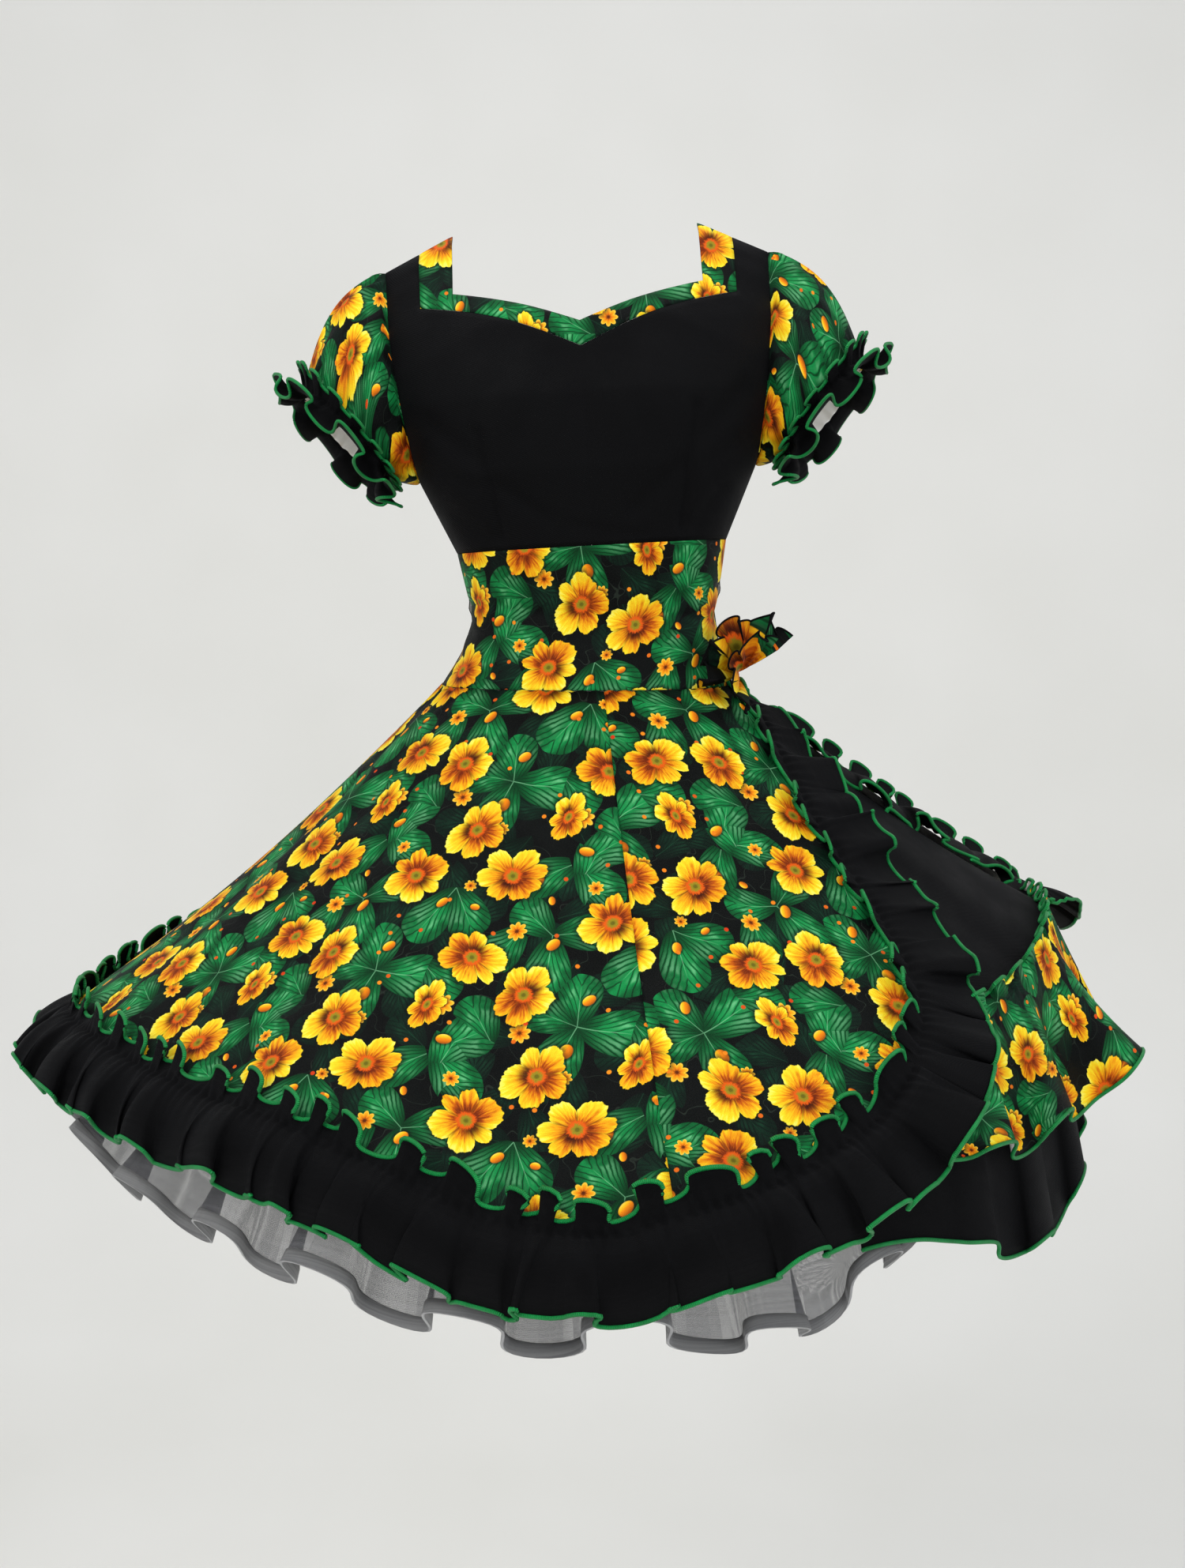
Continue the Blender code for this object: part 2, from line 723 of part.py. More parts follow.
def bow_point(fan, u, v):
    """A fan of the bow: u runs across its pleats and v from the gathering to the free edge."""
    name, radius, first, last, pleats, stand, depth = fan
    up = (Vector((0, 0, 1)) - BOW_FACING * BOW_FACING.z).normalized()
    right = up.cross(BOW_FACING).normalized() * -1
    a = radians(mix(first, last, u))
    phase = 2 * pi * pleats * u
    reach = radius * v * (1 + v * (0.09 * sin(phase + 0.8) + 0.05 * sin(1.6 * phase + 1)))
    sway = 0.10 * v * sin(phase * 2 + 0.5)
    ray = right * cos(a + sway) + up * sin(a + sway)
    lift = depth * v ** 0.7 * sin(phase) + (0.012 + 1.1 * stand) * v
    place, normal = bow_anchor()
    level = ray - normal * ray.dot(normal)
    tilt = 1.05 if stand else 0.45
    around = level.normalized() * cos(tilt) + normal * sin(tilt)
    gathered = place + normal * (BOW_NECK + 0.0005) + around * (BOW_NECK + (0.0006 if stand else 0.0018))
    return gathered.lerp(BOW_MIDDLE + ray * reach + BOW_FACING * lift, min(v * 1.5, 1))


def bow():
    """Two fans of pleats gathered at the waist, and the knot inside them."""
    for fan in BOW_FANS:
        columns = fan[4] * 7
        net = [[bow_point(fan, i / columns, v) for i in range(columns + 1)] for v in (0, 0.3, 0.65, 1.0)]
        sheet(fan[0], net, "print", wall=0.0012)
    place, normal = bow_anchor()
    knot = bpy.data.meshes.new("bow_knot")
    bm = bmesh.new()
    bmesh.ops.create_uvsphere(bm, u_segments=10, v_segments=6, radius=BOW_NECK)
    bm.to_mesh(knot)
    bm.free()
    knot.shade_smooth()
    ball = bpy.data.objects.new("bow_knot", knot)
    dress.objects.link(ball)
    ball.data.materials.append(materials["print"])
    ball.location = place + normal * (BOW_NECK + 0.0005)


def build():
    neck_band(False)
    neck_band(True)
    bodice()
    midriff()
    sleeves()
    skirt_panels()
    hem_and_side_ruffles()
    underskirt()
    top = UNDERSKIRT_END + 0.001
    flounce("printed_flounce", "print", top + 0.003, 0.90, 0.0009, 0.014, 0.110, 29, 110, header=0.016, crest=0.050)
    flounce("black_flounce", "black", top - 0.011, 0.90, -0.0032, 0.008, 0.225, 27, 108)
    petticoat()
    bow()


for old in list(bpy.data.objects):
    bpy.data.objects.remove(old, do_unlink=True)
dress = bpy.data.collections.new("cueca_dress")
bpy.context.scene.collection.children.link(dress)
materials = make_materials()
build()
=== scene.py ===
"""A cueca dress: printed and black cloth, frills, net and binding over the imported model, in metres.

+Z is up, the front faces -Y and the origin is midway between the shoulder seams.
"""

import json
from math import asin, atan2, cos, exp, hypot, pi, radians, sin

import bpy
import bmesh
import numpy as np
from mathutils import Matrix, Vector

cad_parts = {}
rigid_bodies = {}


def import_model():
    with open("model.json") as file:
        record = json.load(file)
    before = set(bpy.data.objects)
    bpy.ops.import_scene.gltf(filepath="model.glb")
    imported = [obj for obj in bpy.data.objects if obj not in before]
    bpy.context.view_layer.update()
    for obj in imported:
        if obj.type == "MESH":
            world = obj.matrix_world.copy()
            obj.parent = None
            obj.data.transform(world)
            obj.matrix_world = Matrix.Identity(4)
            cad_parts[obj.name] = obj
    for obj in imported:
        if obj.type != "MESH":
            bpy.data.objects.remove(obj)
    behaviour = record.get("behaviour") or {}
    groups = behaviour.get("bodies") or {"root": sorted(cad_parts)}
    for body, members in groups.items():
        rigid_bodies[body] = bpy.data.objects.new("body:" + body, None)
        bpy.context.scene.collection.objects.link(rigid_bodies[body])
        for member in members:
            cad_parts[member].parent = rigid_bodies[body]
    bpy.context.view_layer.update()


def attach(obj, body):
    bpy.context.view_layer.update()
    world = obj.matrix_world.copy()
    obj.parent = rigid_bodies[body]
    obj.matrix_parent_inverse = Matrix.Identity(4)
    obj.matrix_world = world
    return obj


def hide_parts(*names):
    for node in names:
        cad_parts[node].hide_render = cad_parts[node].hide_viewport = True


for old in list(bpy.data.objects):
    bpy.data.objects.remove(old, do_unlink=True)
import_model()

# Camera at the photograph's height, tilt and lens
camera_data = bpy.data.cameras.new("camera")
camera_data.sensor_fit = "VERTICAL"
camera_data.sensor_height = 36
camera_data.lens = 38.65
camera_data.clip_end = 60
camera = bpy.data.objects.new("camera", camera_data)
bpy.context.scene.collection.objects.link(camera)
camera.location = (0.0077, -1.956, -0.367)
camera.rotation_euler = (pi / 2 - 0.1225, 0, 0)
bpy.context.scene.camera = camera
bpy.context.scene.view_settings.view_transform = "Standard"

SEAM = 0.0003

# The upper body leans to the viewer's left about the waist, as the dress is held.
LEAN = radians(3.1)
WAIST_X = 0.012
WAIST_Z = -0.43

# Neck and shoulder
STRAP_IN = 0.1376
STRAP_OUT = 0.1765
SHOULDER_HALF = 0.2156
SHOULDER_TOP = 0.022
SHOULDER_SLOPE = 0.455
NECK_CORNER_Z = -0.051
NECK_POINT_Z = -0.092
BAND_CORNER_Z = -0.064
BAND_POINT_Z = -0.117
BACK_NECK_Z = -0.085
BACK_BAND_Z = -0.119
BACK_STRAP_IN = 0.014
UNDERARM_Z = -0.25

# Seams down the body
BODICE_Z = -0.333
WAIST_SEAM_Z = -0.490
SQUARENESS = 2.4

# Sections of the body: height, half width, depth of the front, depth of the back
SECTIONS = [
    (-0.020, 0.2156, 0.060, 0.050),
    (-0.090, 0.2130, 0.095, 0.082),
    (-0.170, 0.2035, 0.120, 0.098),
    (-0.250, 0.1920, 0.127, 0.102),
    (-0.333, 0.1540, 0.118, 0.096),
    (-0.411, 0.1400, 0.104, 0.092),
    (-0.450, 0.1490, 0.112, 0.102),
    (-0.490, 0.1660, 0.127, 0.120),
]

# Rise of the chest and back from the shoulder seam: drop below the seam, share of the section's depth
OVER_SHOULDER = [(0.0, 0.0), (0.012, 0.40), (0.035, 0.68), (0.075, 0.88), (0.130, 1.0), (0.500, 1.0)]

# The skirt's hem by azimuth: degrees, radius, height
HEM = [
    (-180, 0.600, -0.850),
    (-90, 0.600, -0.852),
    (-45, 0.590, -0.850),
    (0, 0.604, -0.884),
    (40, 0.612, -0.850),
    (85, 0.628, -0.785),
    (125, 0.630, -0.795),
    (180, 0.600, -0.850),
]
SLANT = 0.56
SKIRT_FOLDS = 9
FOLD_HEIGHT = 0.0075

# Free edge of the front panel: share of the slant, azimuth in degrees. It runs from the waist to the hem.
FRONT_EDGE = [(0.0, 80), (0.12, 62), (0.30, 50), (0.55, 46), (0.78, 42), (0.92, 37), (1.0, 31)]
BACK_EDGE = [(0.0, 88), (0.20, 92), (0.50, 96), (1.0, 100)]
# Length of the front panel by azimuth: degrees, share of the slant
FRONT_LENGTH = [
    (-90, 0.985), (-52, 0.945), (-31, 0.955), (-18, 0.98), (0, 1.065), (12, 1.03), (22, 0.97), (31, 0.90),
]
BACK_LENGTH = [(96, 0.80), (104, 0.87), (118, 0.95), (150, 0.975), (270, 0.985)]

# Layers under the skirt: how far under it at the waist and at the hem
UNDERSKIRT_IN = (0.0065, 0.016)
PETTICOAT_IN = (0.012, 0.064)
PETTICOAT_DIP = 0.072
UNDERSKIRT_END = 0.80

# Lower edge of the petticoat by azimuth: degrees, share of the skirt's slant
FRILL_EDGE = [
    (-180, 1.07), (-90, 1.07), (-50, 1.10), (-20, 1.11),
    (0, 1.12), (14, 1.12), (30, 1.04), (50, 0.94), (62, 0.92), (100, 0.92), (125, 1.0), (180, 1.07),
]
FRILL_TOP = 0.84

# Azimuth of the printed flounce's largest fold, in degrees
CREST_AT = 74

# Azimuth of the seam between the front gores, in degrees
FRONT_SEAM = 7

# Thickness of the shells, and radius of the rolled edges
CLOTH_WALL = 0.0009
BAND_WALL = 0.0012
NET_WALL = 0.0006
BINDING_WALL = 0.0026
EDGING = 0.0021
CUFF_EDGING = 0.0019
BOW_EDGING = 0.0012

# Gap under the shoulder's top edge, height of a ruffle's stitching, and how much deeper creases are drawn
SHOULDER_GAP = 0.0016
STITCHING = 0.0022
CREASE_GAIN = 1.5

# Ruffles: header above the stitching, width below it
HEM_HEADER = 0.018
HEM_WIDTH = 0.074
HEM_WAVE = 0.090
SIDE_WIDTH = 0.066
CUFF_WIDTH = 0.031
CUFF_WAVES = 8
FRILL_LOOPS = 28

# Sleeves, on the viewer's right: middle, axis and radii of the cuff
CUFF_MIDDLE = Vector((0.274, -0.008, -0.194))
CUFF_AXIS = Vector((0.70, -0.20, -0.66)).normalized()
CUFF_ACROSS = 0.062
CUFF_DEEP = 0.064
PUFF = 0.027

# Bow: where it is gathered, the way it faces, and its fans
BOW_MIDDLE = Vector((0.184, -0.066, -0.480))
BOW_ANCHOR = (0.156, -0.478)
BOW_NECK = 0.0050
BOW_FACING = Vector((0.42, -0.90, 0.12)).normalized()
# Fans of the bow: name, radius, first and last angle, pleats, how far out it stands, depth of a pleat
BOW_FANS = [
    ("bow_back_fan", 0.066, -10, 136, 4, 0.000, 0.0100),
    ("bow_front_fan", 0.044, -60, 112, 4, 0.022, 0.0070),
]

EDGE_SHARE = asin(STRAP_OUT / SHOULDER_HALF)


def along(table, x, column=1):
    """A column of a table at x, smooth between its rows."""
    if x <= table[0][0]:
        return table[0][column]
    for low, high in zip(table, table[1:]):
        if x <= high[0]:
            t = (x - low[0]) / (high[0] - low[0])
            t = t * t * (3 - 2 * t)
            return low[column] + (high[column] - low[column]) * t
    return table[-1][column]


def straight(table, x, column=1):
    """A column of a table at x, straight between its rows."""
    x = min(max(x, table[0][0]), table[-1][0])
    for low, high in zip(table, table[1:]):
        if x <= high[0]:
            return low[column] + (high[column] - low[column]) * (x - low[0]) / (high[0] - low[0])
    return table[-1][column]


def mix(a, b, t):
    return a + (b - a) * t


def unit(x):
    """x kept between 0 and 1."""
    return min(max(x, 0.0), 1.0)


def section(z, column):
    """Size of the body at a height. Rows run down, so the table is read by depth."""
    return straight([(-row[0], *row[1:]) for row in SECTIONS], -z, column)


def lean(point):
    """A point of the upright dress, leant above the waist."""
    x, y, z = point
    share = unit((z - WAIST_SEAM_Z) / 0.10)
    angle = LEAN * share
    high = z - WAIST_Z
    shift = WAIST_X * share
    c, s = cos(angle), sin(angle)
    return Vector((shift + x * c - high * s, y, WAIST_Z + x * s + high * c))


def shoulder_z(x):
    return SHOULDER_TOP - SHOULDER_SLOPE * (abs(x) - STRAP_IN)


def body(x, z, back=False):
    """The body's surface over a place x, z of the upright dress."""
    wide = section(z, 1)
    spare = 1 + 0.06 * sin(pi * unit((z - UNDERARM_Z) / (-0.0135 - UNDERARM_Z)))
    deep = section(z, 3 if back else 2)
    rise = straight(OVER_SHOULDER, max(shoulder_z(x) - z, 0.0))
    inside = max(1 - abs(x / (wide * spare)) ** SQUARENESS, 0.0)
    y = deep * rise * inside ** (1 / SQUARENESS)
    if not back:
        y += 0.012 * rise * exp(-(((abs(x) - 0.082) / 0.055) ** 2) - ((z + 0.185) / 0.065) ** 2)
    return lean((x, y if back else -y, z))


def hem_row(degrees):
    around = (degrees + 180) % 360 - 180
    return along(HEM, around, 1), along(HEM, around, 2)


def waist_point(degrees):
    """A point of the waist seam."""
    a = radians(degrees)
    z = WAIST_SEAM_Z - 0.0002
    wide = section(WAIST_SEAM_Z, 1)
    deep = section(WAIST_SEAM_Z, 2 if cos(a) > 0 else 3)
    s, c = sin(a), cos(a)
    scale = (abs(s) ** SQUARENESS + abs(c) ** SQUARENESS) ** (-1 / SQUARENESS)
    return Vector((wide * s * scale, -deep * c * scale, z))


def inside_waist(degrees, inward):
    """A point just inside the waist seam."""
    point = waist_point(degrees)
    ahead, behind = waist_point(degrees + 1), waist_point(degrees - 1)
    across = (ahead - behind).normalized()
    return point + Vector((0, 0, 1)).cross(across) * inward


def cone(degrees, share):
    """The skirt at an azimuth and a share of its slant, without folds."""
    radius, height = hem_row(degrees)
    a = radians(degrees)
    top = waist_point(degrees)
    low = Vector((radius * sin(a), -radius * cos(a), height))
    point = top.lerp(low, share)
    point.z -= 0.020 * sin(pi * min(share, 1.0))
    return point


def cone_normal(degrees, share):
    d = 1.0
    h = 0.02
    across = cone(degrees + d, share) - cone(degrees - d, share)
    down = cone(degrees, share + h) - cone(degrees, share - h)
    return down.cross(across).normalized()


def fold(degrees, share):
    """Height of the skirt's soft folds, none at the waist."""
    a = radians(degrees)
    wave = sin(SKIRT_FOLDS * a + 0.9 * sin(2 * a)) + 0.45 * sin(5 * a + 1.3)
    return FOLD_HEIGHT * wave * min(share, 1.1) ** 1.5


def skirt(degrees, share, under=0.0):
    """The skirt's outer face, or a layer that far under it."""
    return cone(degrees, share) + cone_normal(degrees, share) * (fold(degrees, share) - under)


def layer(depths, degrees, share):
    return skirt(degrees, share, mix(depths[0], depths[1], share))


def neck_in(x, back):
    """Lower or inner edge of the neck opening at x."""
    x = abs(x) / STRAP_IN
    if back:
        return BACK_NECK_Z
    return mix(NECK_POINT_Z, NECK_CORNER_Z, x) + 0.004 * sin(pi * x)


def band_low(x, back):
    """Outer edge of the neck band at x, where the bodice begins."""
    x = abs(x) / STRAP_OUT
    if back:
        return BACK_BAND_Z
    return mix(BAND_POINT_Z, BAND_CORNER_Z, x) + 0.009 * sin(pi * min(x, 1)) - 0.003 * cos(pi * x / 2)


def strap_x(z, w, back):
    """Distance of a strap from the middle: 0 is its inner edge and 1 its outer one."""
    narrow = BACK_STRAP_IN * min(max(SHOULDER_TOP - z, 0) / 0.05, 1) if back else 0
    return mix(STRAP_IN + narrow, STRAP_OUT * armhole(z) / SHOULDER_HALF - 2 * SEAM, w)


def off_shoulder(point, at_seam, back):
    """Front and back stop short of the shoulder seam by half its gap."""
    if at_seam:
        point.y += 0.0010 if back else -0.0010
    return point


def armhole(z):
    """Half width of the bodice at a height."""
    return section(z, 1)


def panel_length(degrees):
    """Share of the slant at which a panel ends."""
    if degrees < -90:
        degrees += 360
    return straight(BACK_LENGTH if degrees > 60 else FRONT_LENGTH, degrees)


def front_path(t):
    """Edge of the front panels from the left side seam, along the hem, round the corner, to the waist."""
    hem_share = 0.72
    if t <= hem_share:
        degrees = mix(-90, straight(FRONT_EDGE, 1), t / hem_share)
        return degrees, panel_length(degrees)
    v = 1 - (t - hem_share) / (1 - hem_share)
    return straight(FRONT_EDGE, v), v * panel_length(straight(FRONT_EDGE, 1))


def rounded(path, t, soft=0.022):
    """A path with its corners rounded by a running mean."""
    soft = min(soft, t, 1 - t)
    near = [path(t + soft * k / 4) for k in range(-4, 5)]
    return sum(p[0] for p in near) / 9, sum(p[1] for p in near) / 9


def back_path(t):
    """Edge of the back panels from the waist, down the opening, round the corner, to the left side seam."""
    side_share = 0.15
    if t < side_share:
        v = mix(0.16, 1, t / side_share)
        return straight(BACK_EDGE, v), v * panel_length(straight(BACK_EDGE, 1))
    degrees = mix(straight(BACK_EDGE, 1), 270, (t - side_share) / (1 - side_share))
    return degrees, panel_length(degrees)


def ruffle_line(path, count, soft=0.0):
    """Places along a path on the skirt, evenly spaced: point, way out of the panel and normal."""
    fine = 400
    samples = []
    for i in range(fine + 1):
        t = i / fine
        degrees, share = rounded(path, t, soft) if soft else path(t)
        samples.append((degrees, share, skirt(degrees, share)))
    far = [0.0]
    for a, b in zip(samples, samples[1:]):
        far.append(far[-1] + (b[2] - a[2]).length)
    line = []
    k = 0
    for i in range(count + 1):
        want = far[-1] * i / count
        while k < fine - 1 and far[k + 1] < want:
            k += 1
        t = (want - far[k]) / max(far[k + 1] - far[k], 1e-9)
        a, b = samples[k], samples[k + 1]
        degrees, share = mix(a[0], b[0], t), mix(a[1], b[1], t)
        tangent = (b[2] - a[2]).normalized()
        normal = cone_normal(degrees, share)
        line.append((skirt(degrees, share), tangent, normal, want))
    return line, far[-1]


def between(x, low, low_full, high_full, high):
    """0 outside low and high, 1 inside their full values, smooth between."""
    into = unit((x - low) / (low_full - low)) * unit((high - x) / (high - high_full))
    return into * into * (3 - 2 * into)


def free(degrees):
    """1 in the side opening and 0 under the panels beside it."""
    return between(degrees, 34, 50, 90, 104)


def petticoat_point(degrees, share):
    """The petticoat's outer face, lower where the flounces hang over it."""
    dip = PETTICOAT_DIP * share * between(degrees, 2, 24, 108, 128)
    return layer(PETTICOAT_IN, degrees, share) - cone_normal(degrees, share) * dip


def armhole_point(side, turn):
    """A point of the armhole: turn 0 is the shoulder, a quarter the front, a half the underarm."""
    t = turn % 1.0
    back = t > 0.5
    down = 2 * t if not back else 2 - 2 * t
    z = mix(shoulder_z(SHOULDER_HALF) - SHOULDER_GAP, UNDERARM_Z, (1 - cos(pi * down)) / 2)
    return body(side * armhole(z), z, back)


def cuff_frame(side):
    """Middle, axis and the two ways across a cuff, on the upright dress."""
    flip = Vector((side, 1, 1))
    axis = CUFF_AXIS * flip
    up = Vector((-axis.z * side, 0, abs(axis.x)))
    up = (up - axis * up.dot(axis)).normalized()
    front = axis.cross(up).normalized()
    if front.y > 0:
        front = -front
    return CUFF_MIDDLE * flip, axis, up, front


def out_of_sleeve(side, turn):
    """The way out of the sleeve at a turn round it."""
    _, _, up, front = cuff_frame(side)
    a = 2 * pi * turn
    return (up * cos(a) + front * sin(a)).normalized()


def cuff_point(side, turn):
    middle, _, up, front = cuff_frame(side)
    a = 2 * pi * turn
    return lean(middle + up * CUFF_ACROSS * cos(a) + front * CUFF_DEEP * sin(a))


def sleeve_point(side, turn, v):
    """The sleeve's outer face: gathered at the head and the cuff, puffed between."""
    top, low = armhole_point(side, turn), cuff_point(side, turn)
    a = 2 * pi * turn
    out = out_of_sleeve(side, turn)
    full = PUFF * (0.62 + 0.38 * cos(a)) * sin(pi * v ** 0.85)
    gather = 0.0022 * sin(16 * a) * (abs(2 * v - 1) ** 1.5) * sin(pi * min(v * 6, 1) / 2)
    start = Vector((side * 0.0009, 0, 0)) * (1 - v)
    return top.lerp(low, v) + out * (full + gather) + start


def bow_anchor():
    """Where the bow is sewn on the waist, and the way out of the cloth there."""
    x, z = BOW_ANCHOR
    across = body(x + 0.002, z) - body(x - 0.002, z)
    return body(x, z), Vector((-across.y, across.x, 0)).normalized() * -1


def bow_point(fan, u, v):
    """A fan of the bow: u runs across its pleats and v from the gathering to the free edge."""
    _, radius, first, last, pleats, stand, depth = fan
    up = (Vector((0, 0, 1)) - BOW_FACING * BOW_FACING.z).normalized()
    right = up.cross(BOW_FACING).normalized() * -1
    a = radians(mix(first, last, u))
    phase = 2 * pi * pleats * u
    reach = radius * v * (1 + v * (0.09 * sin(phase + 0.8) + 0.05 * sin(1.6 * phase + 1)))
    sway = 0.10 * v * sin(phase * 2 + 0.5)
    ray = right * cos(a + sway) + up * sin(a + sway)
    lift = depth * v ** 0.7 * sin(phase) + (0.012 + 1.1 * stand) * v
    place, normal = bow_anchor()
    level = ray - normal * ray.dot(normal)
    tilt = 1.05 if stand else 0.45
    around = level.normalized() * cos(tilt) + normal * sin(tilt)
    gathered = place + normal * (BOW_NECK + 0.0005) + around * (BOW_NECK + (0.0006 if stand else 0.0018))
    return gathered.lerp(BOW_MIDDLE + ray * reach + BOW_FACING * lift, min(v * 1.5, 1))


# Node graphs of the materials, written as sums
class Value:
    """A socket that adds, multiplies and divides like a number."""

    def __init__(self, graph, socket):
        self.graph = graph
        self.socket = socket

    def __add__(self, other):
        return self.graph.math("ADD", self, other)

    __radd__ = __add__

    def __sub__(self, other):
        return self.graph.math("SUBTRACT", self, other)

    def __rsub__(self, other):
        return self.graph.math("SUBTRACT", other, self)

    def __mul__(self, other):
        return self.graph.math("MULTIPLY", self, other)

    __rmul__ = __mul__

    def __truediv__(self, other):
        return self.graph.math("DIVIDE", self, other)

    def __pow__(self, other):
        return self.graph.math("POWER", self, other)

    def __abs__(self):
        return self.graph.math("ABSOLUTE", self)


class Graph:
    """The nodes of one material."""

    def __init__(self, name):
        self.material = bpy.data.materials.new(name)
        self.material.use_nodes = True
        self.tree = self.material.node_tree
        self.shader = self.tree.nodes["Principled BSDF"]

    def node(self, kind, **settings):
        made = self.tree.nodes.new(kind)
        for key, value in settings.items():
            setattr(made, key, value)
        return made

    def feed(self, socket, value):
        if isinstance(value, Value):
            self.tree.links.new(value.socket, socket)
        else:
            socket.default_value = value

    def math(self, operation, *values):
        made = self.node("ShaderNodeMath", operation=operation)
        for socket, value in zip(made.inputs, values):
            self.feed(socket, value)
        return Value(self, made.outputs[0])

    def sine(self, value):
        return self.math("SINE", value)

    def vector(self, operation, *values):
        made = self.node("ShaderNodeVectorMath", operation=operation)
        for socket, value in zip(made.inputs, values):
            self.feed(socket, value)
        return Value(self, made.outputs["Value" if operation == "LENGTH" else "Vector"])

    def length(self, vector):
        return self.vector("LENGTH", vector)

    def turned(self, vector, angle):
        made = self.node("ShaderNodeVectorRotate", rotation_type="Z_AXIS")
        self.feed(made.inputs["Vector"], vector)
        self.feed(made.inputs["Angle"], angle)
        return Value(self, made.outputs[0])

    def mapped(self, vector, scale, turn, place):
        made = self.node("ShaderNodeMapping")
        self.feed(made.inputs["Vector"], vector)
        made.inputs["Location"].default_value = place
        made.inputs["Rotation"].default_value = (0, 0, turn)
        made.inputs["Scale"].default_value = scale
        return Value(self, made.outputs[0])

    def parts(self, vector):
        made = self.node("ShaderNodeSeparateXYZ")
        self.feed(made.inputs[0], vector)
        return [Value(self, s) for s in made.outputs]

    def joined(self, x, y, z=0.0):
        made = self.node("ShaderNodeCombineXYZ")
        for socket, value in zip(made.inputs, (x, y, z)):
            self.feed(socket, value)
        return Value(self, made.outputs[0])

    def step(self, value, low, high, out_low=0.0, out_high=1.0):
        """Smooth from out_low at low to out_high at high."""
        made = self.node("ShaderNodeMapRange", interpolation_type="SMOOTHSTEP")
        for socket, x in zip(made.inputs, (value, low, high, out_low, out_high)):
            self.feed(socket, x)
        return Value(self, made.outputs[0])

    def choose(self, factor, a, b):
        """Vector a where factor is 0 and b where it is 1."""
        made = self.node("ShaderNodeMix", data_type="VECTOR")
        self.feed(made.inputs[0], factor)
        self.feed(made.inputs[4], a)
        self.feed(made.inputs[5], b)
        return Value(self, made.outputs[1])

    def blend(self, factor, a, b):
        """Colour a where factor is 0 and b where it is 1."""
        made = self.node("ShaderNodeMix", data_type="RGBA")
        self.feed(made.inputs[0], factor)
        self.feed(made.inputs[6], hexed(a))
        self.feed(made.inputs[7], hexed(b))
        return Value(self, made.outputs[2])

    def ramp(self, value, stops):
        made = self.node("ShaderNodeValToRGB")
        band = made.color_ramp
        while len(band.elements) < len(stops):
            band.elements.new(0.5)
        for element, (place, colour) in zip(band.elements, stops):
            element.position = place
            element.color = hexed(colour)
        self.feed(made.inputs[0], value)
        return Value(self, made.outputs[0])

    def noise(self, vector, scale, detail=2.0, rough=0.5):
        made = self.node("ShaderNodeTexNoise")
        self.feed(made.inputs["Vector"], vector)
        made.inputs["Scale"].default_value = scale
        made.inputs["Detail"].default_value = detail
        made.inputs["Roughness"].default_value = rough
        return Value(self, made.outputs[0])

    def flat(self):
        """The cut's own coordinates, in metres."""
        made = self.node("ShaderNodeUVMap", uv_map="cut")
        return Value(self, made.outputs[0])

    def clouds(self, scale, detail, low, high):
        """Soft patches of two tones over the cut."""
        return self.ramp(self.noise(self.flat(), scale, detail), [(0.3, low), (0.7, high)])

    def bump(self, height, distance, strength=1.0, over=None):
        made = self.node("ShaderNodeBump")
        made.inputs["Strength"].default_value = strength
        made.inputs["Distance"].default_value = distance
        self.feed(made.inputs["Height"], height)
        if over is not None:
            self.feed(made.inputs["Normal"], over)
        return Value(self, made.outputs[0])

    def finish(self, colour, roughness, normal=None, sheen=0.0, sheen_tint=None, specular=0.35):
        self.feed(self.shader.inputs["Base Color"], colour)
        self.feed(self.shader.inputs["Roughness"], roughness)
        if normal is not None:
            self.feed(self.shader.inputs["Normal"], normal)
        self.shader.inputs["Sheen Weight"].default_value = sheen
        self.shader.inputs["Sheen Roughness"].default_value = 0.45
        if sheen_tint:
            self.shader.inputs["Sheen Tint"].default_value = hexed(sheen_tint)
        self.shader.inputs["Specular IOR Level"].default_value = specular
        return self.material


def hexed(colour):
    """A colour written #rrggbb, in linear light. Anything else is passed on."""
    if not isinstance(colour, str):
        return colour
    made = []
    for i in (1, 3, 5):
        c = int(colour[i:i + 2], 16) / 255
        made.append(c / 12.92 if c <= 0.04045 else ((c + 0.055) / 1.055) ** 2.4)
    return (*made, 1.0)


# The print's repeat, in millimetres: its width and height, and how far each column drops
TILE = (206.0, 246.0)
TILE_DROP = 0.235
# Open flowers: x, y, radius, turn in degrees, seed
FLOWERS = [
    (36, 208, 37, 10, 0.15), (96, 142, 38, 150, 0.35), (157, 116, 38, 215, 0.88), (66, 72, 38, 290, 0.52),
    (176, 18, 37, 40, 0.71),
]
# Flowers seen from the side: x, y, half length, turn, seed, narrowness
SIDE_FLOWERS = [(170, 198, 34, 95, 0.42, 0.60)]
# Leaves: x and y of the stalk's end, way that the leaf runs in degrees, length, width, tone
LEAVES = [
    (98, 206, 18, 70, 64, 0.95), (98, 206, 118, 58, 54, 0.80), (98, 206, 276, 66, 58, 0.90),
    (98, 206, 190, 52, 50, 0.60), (206, 160, 62, 62, 58, 0.85), (206, 160, 340, 62, 58, 0.95),
    (206, 160, 238, 64, 54, 0.75), (116, 76, 262, 72, 62, 0.90), (116, 76, 322, 62, 56, 0.75),
    (40, 150, 150, 56, 54, 0.70), (14, 92, 96, 60, 52, 0.90), (14, 92, 8, 50, 48, 0.65),
    (24, 30, 40, 60, 52, 0.70), (24, 30, 296, 70, 60, 0.95), (134, 236, 340, 58, 54, 0.65),
    (200, 76, 262, 60, 54, 0.70), (24, 30, 165, 54, 50, 0.80),
]
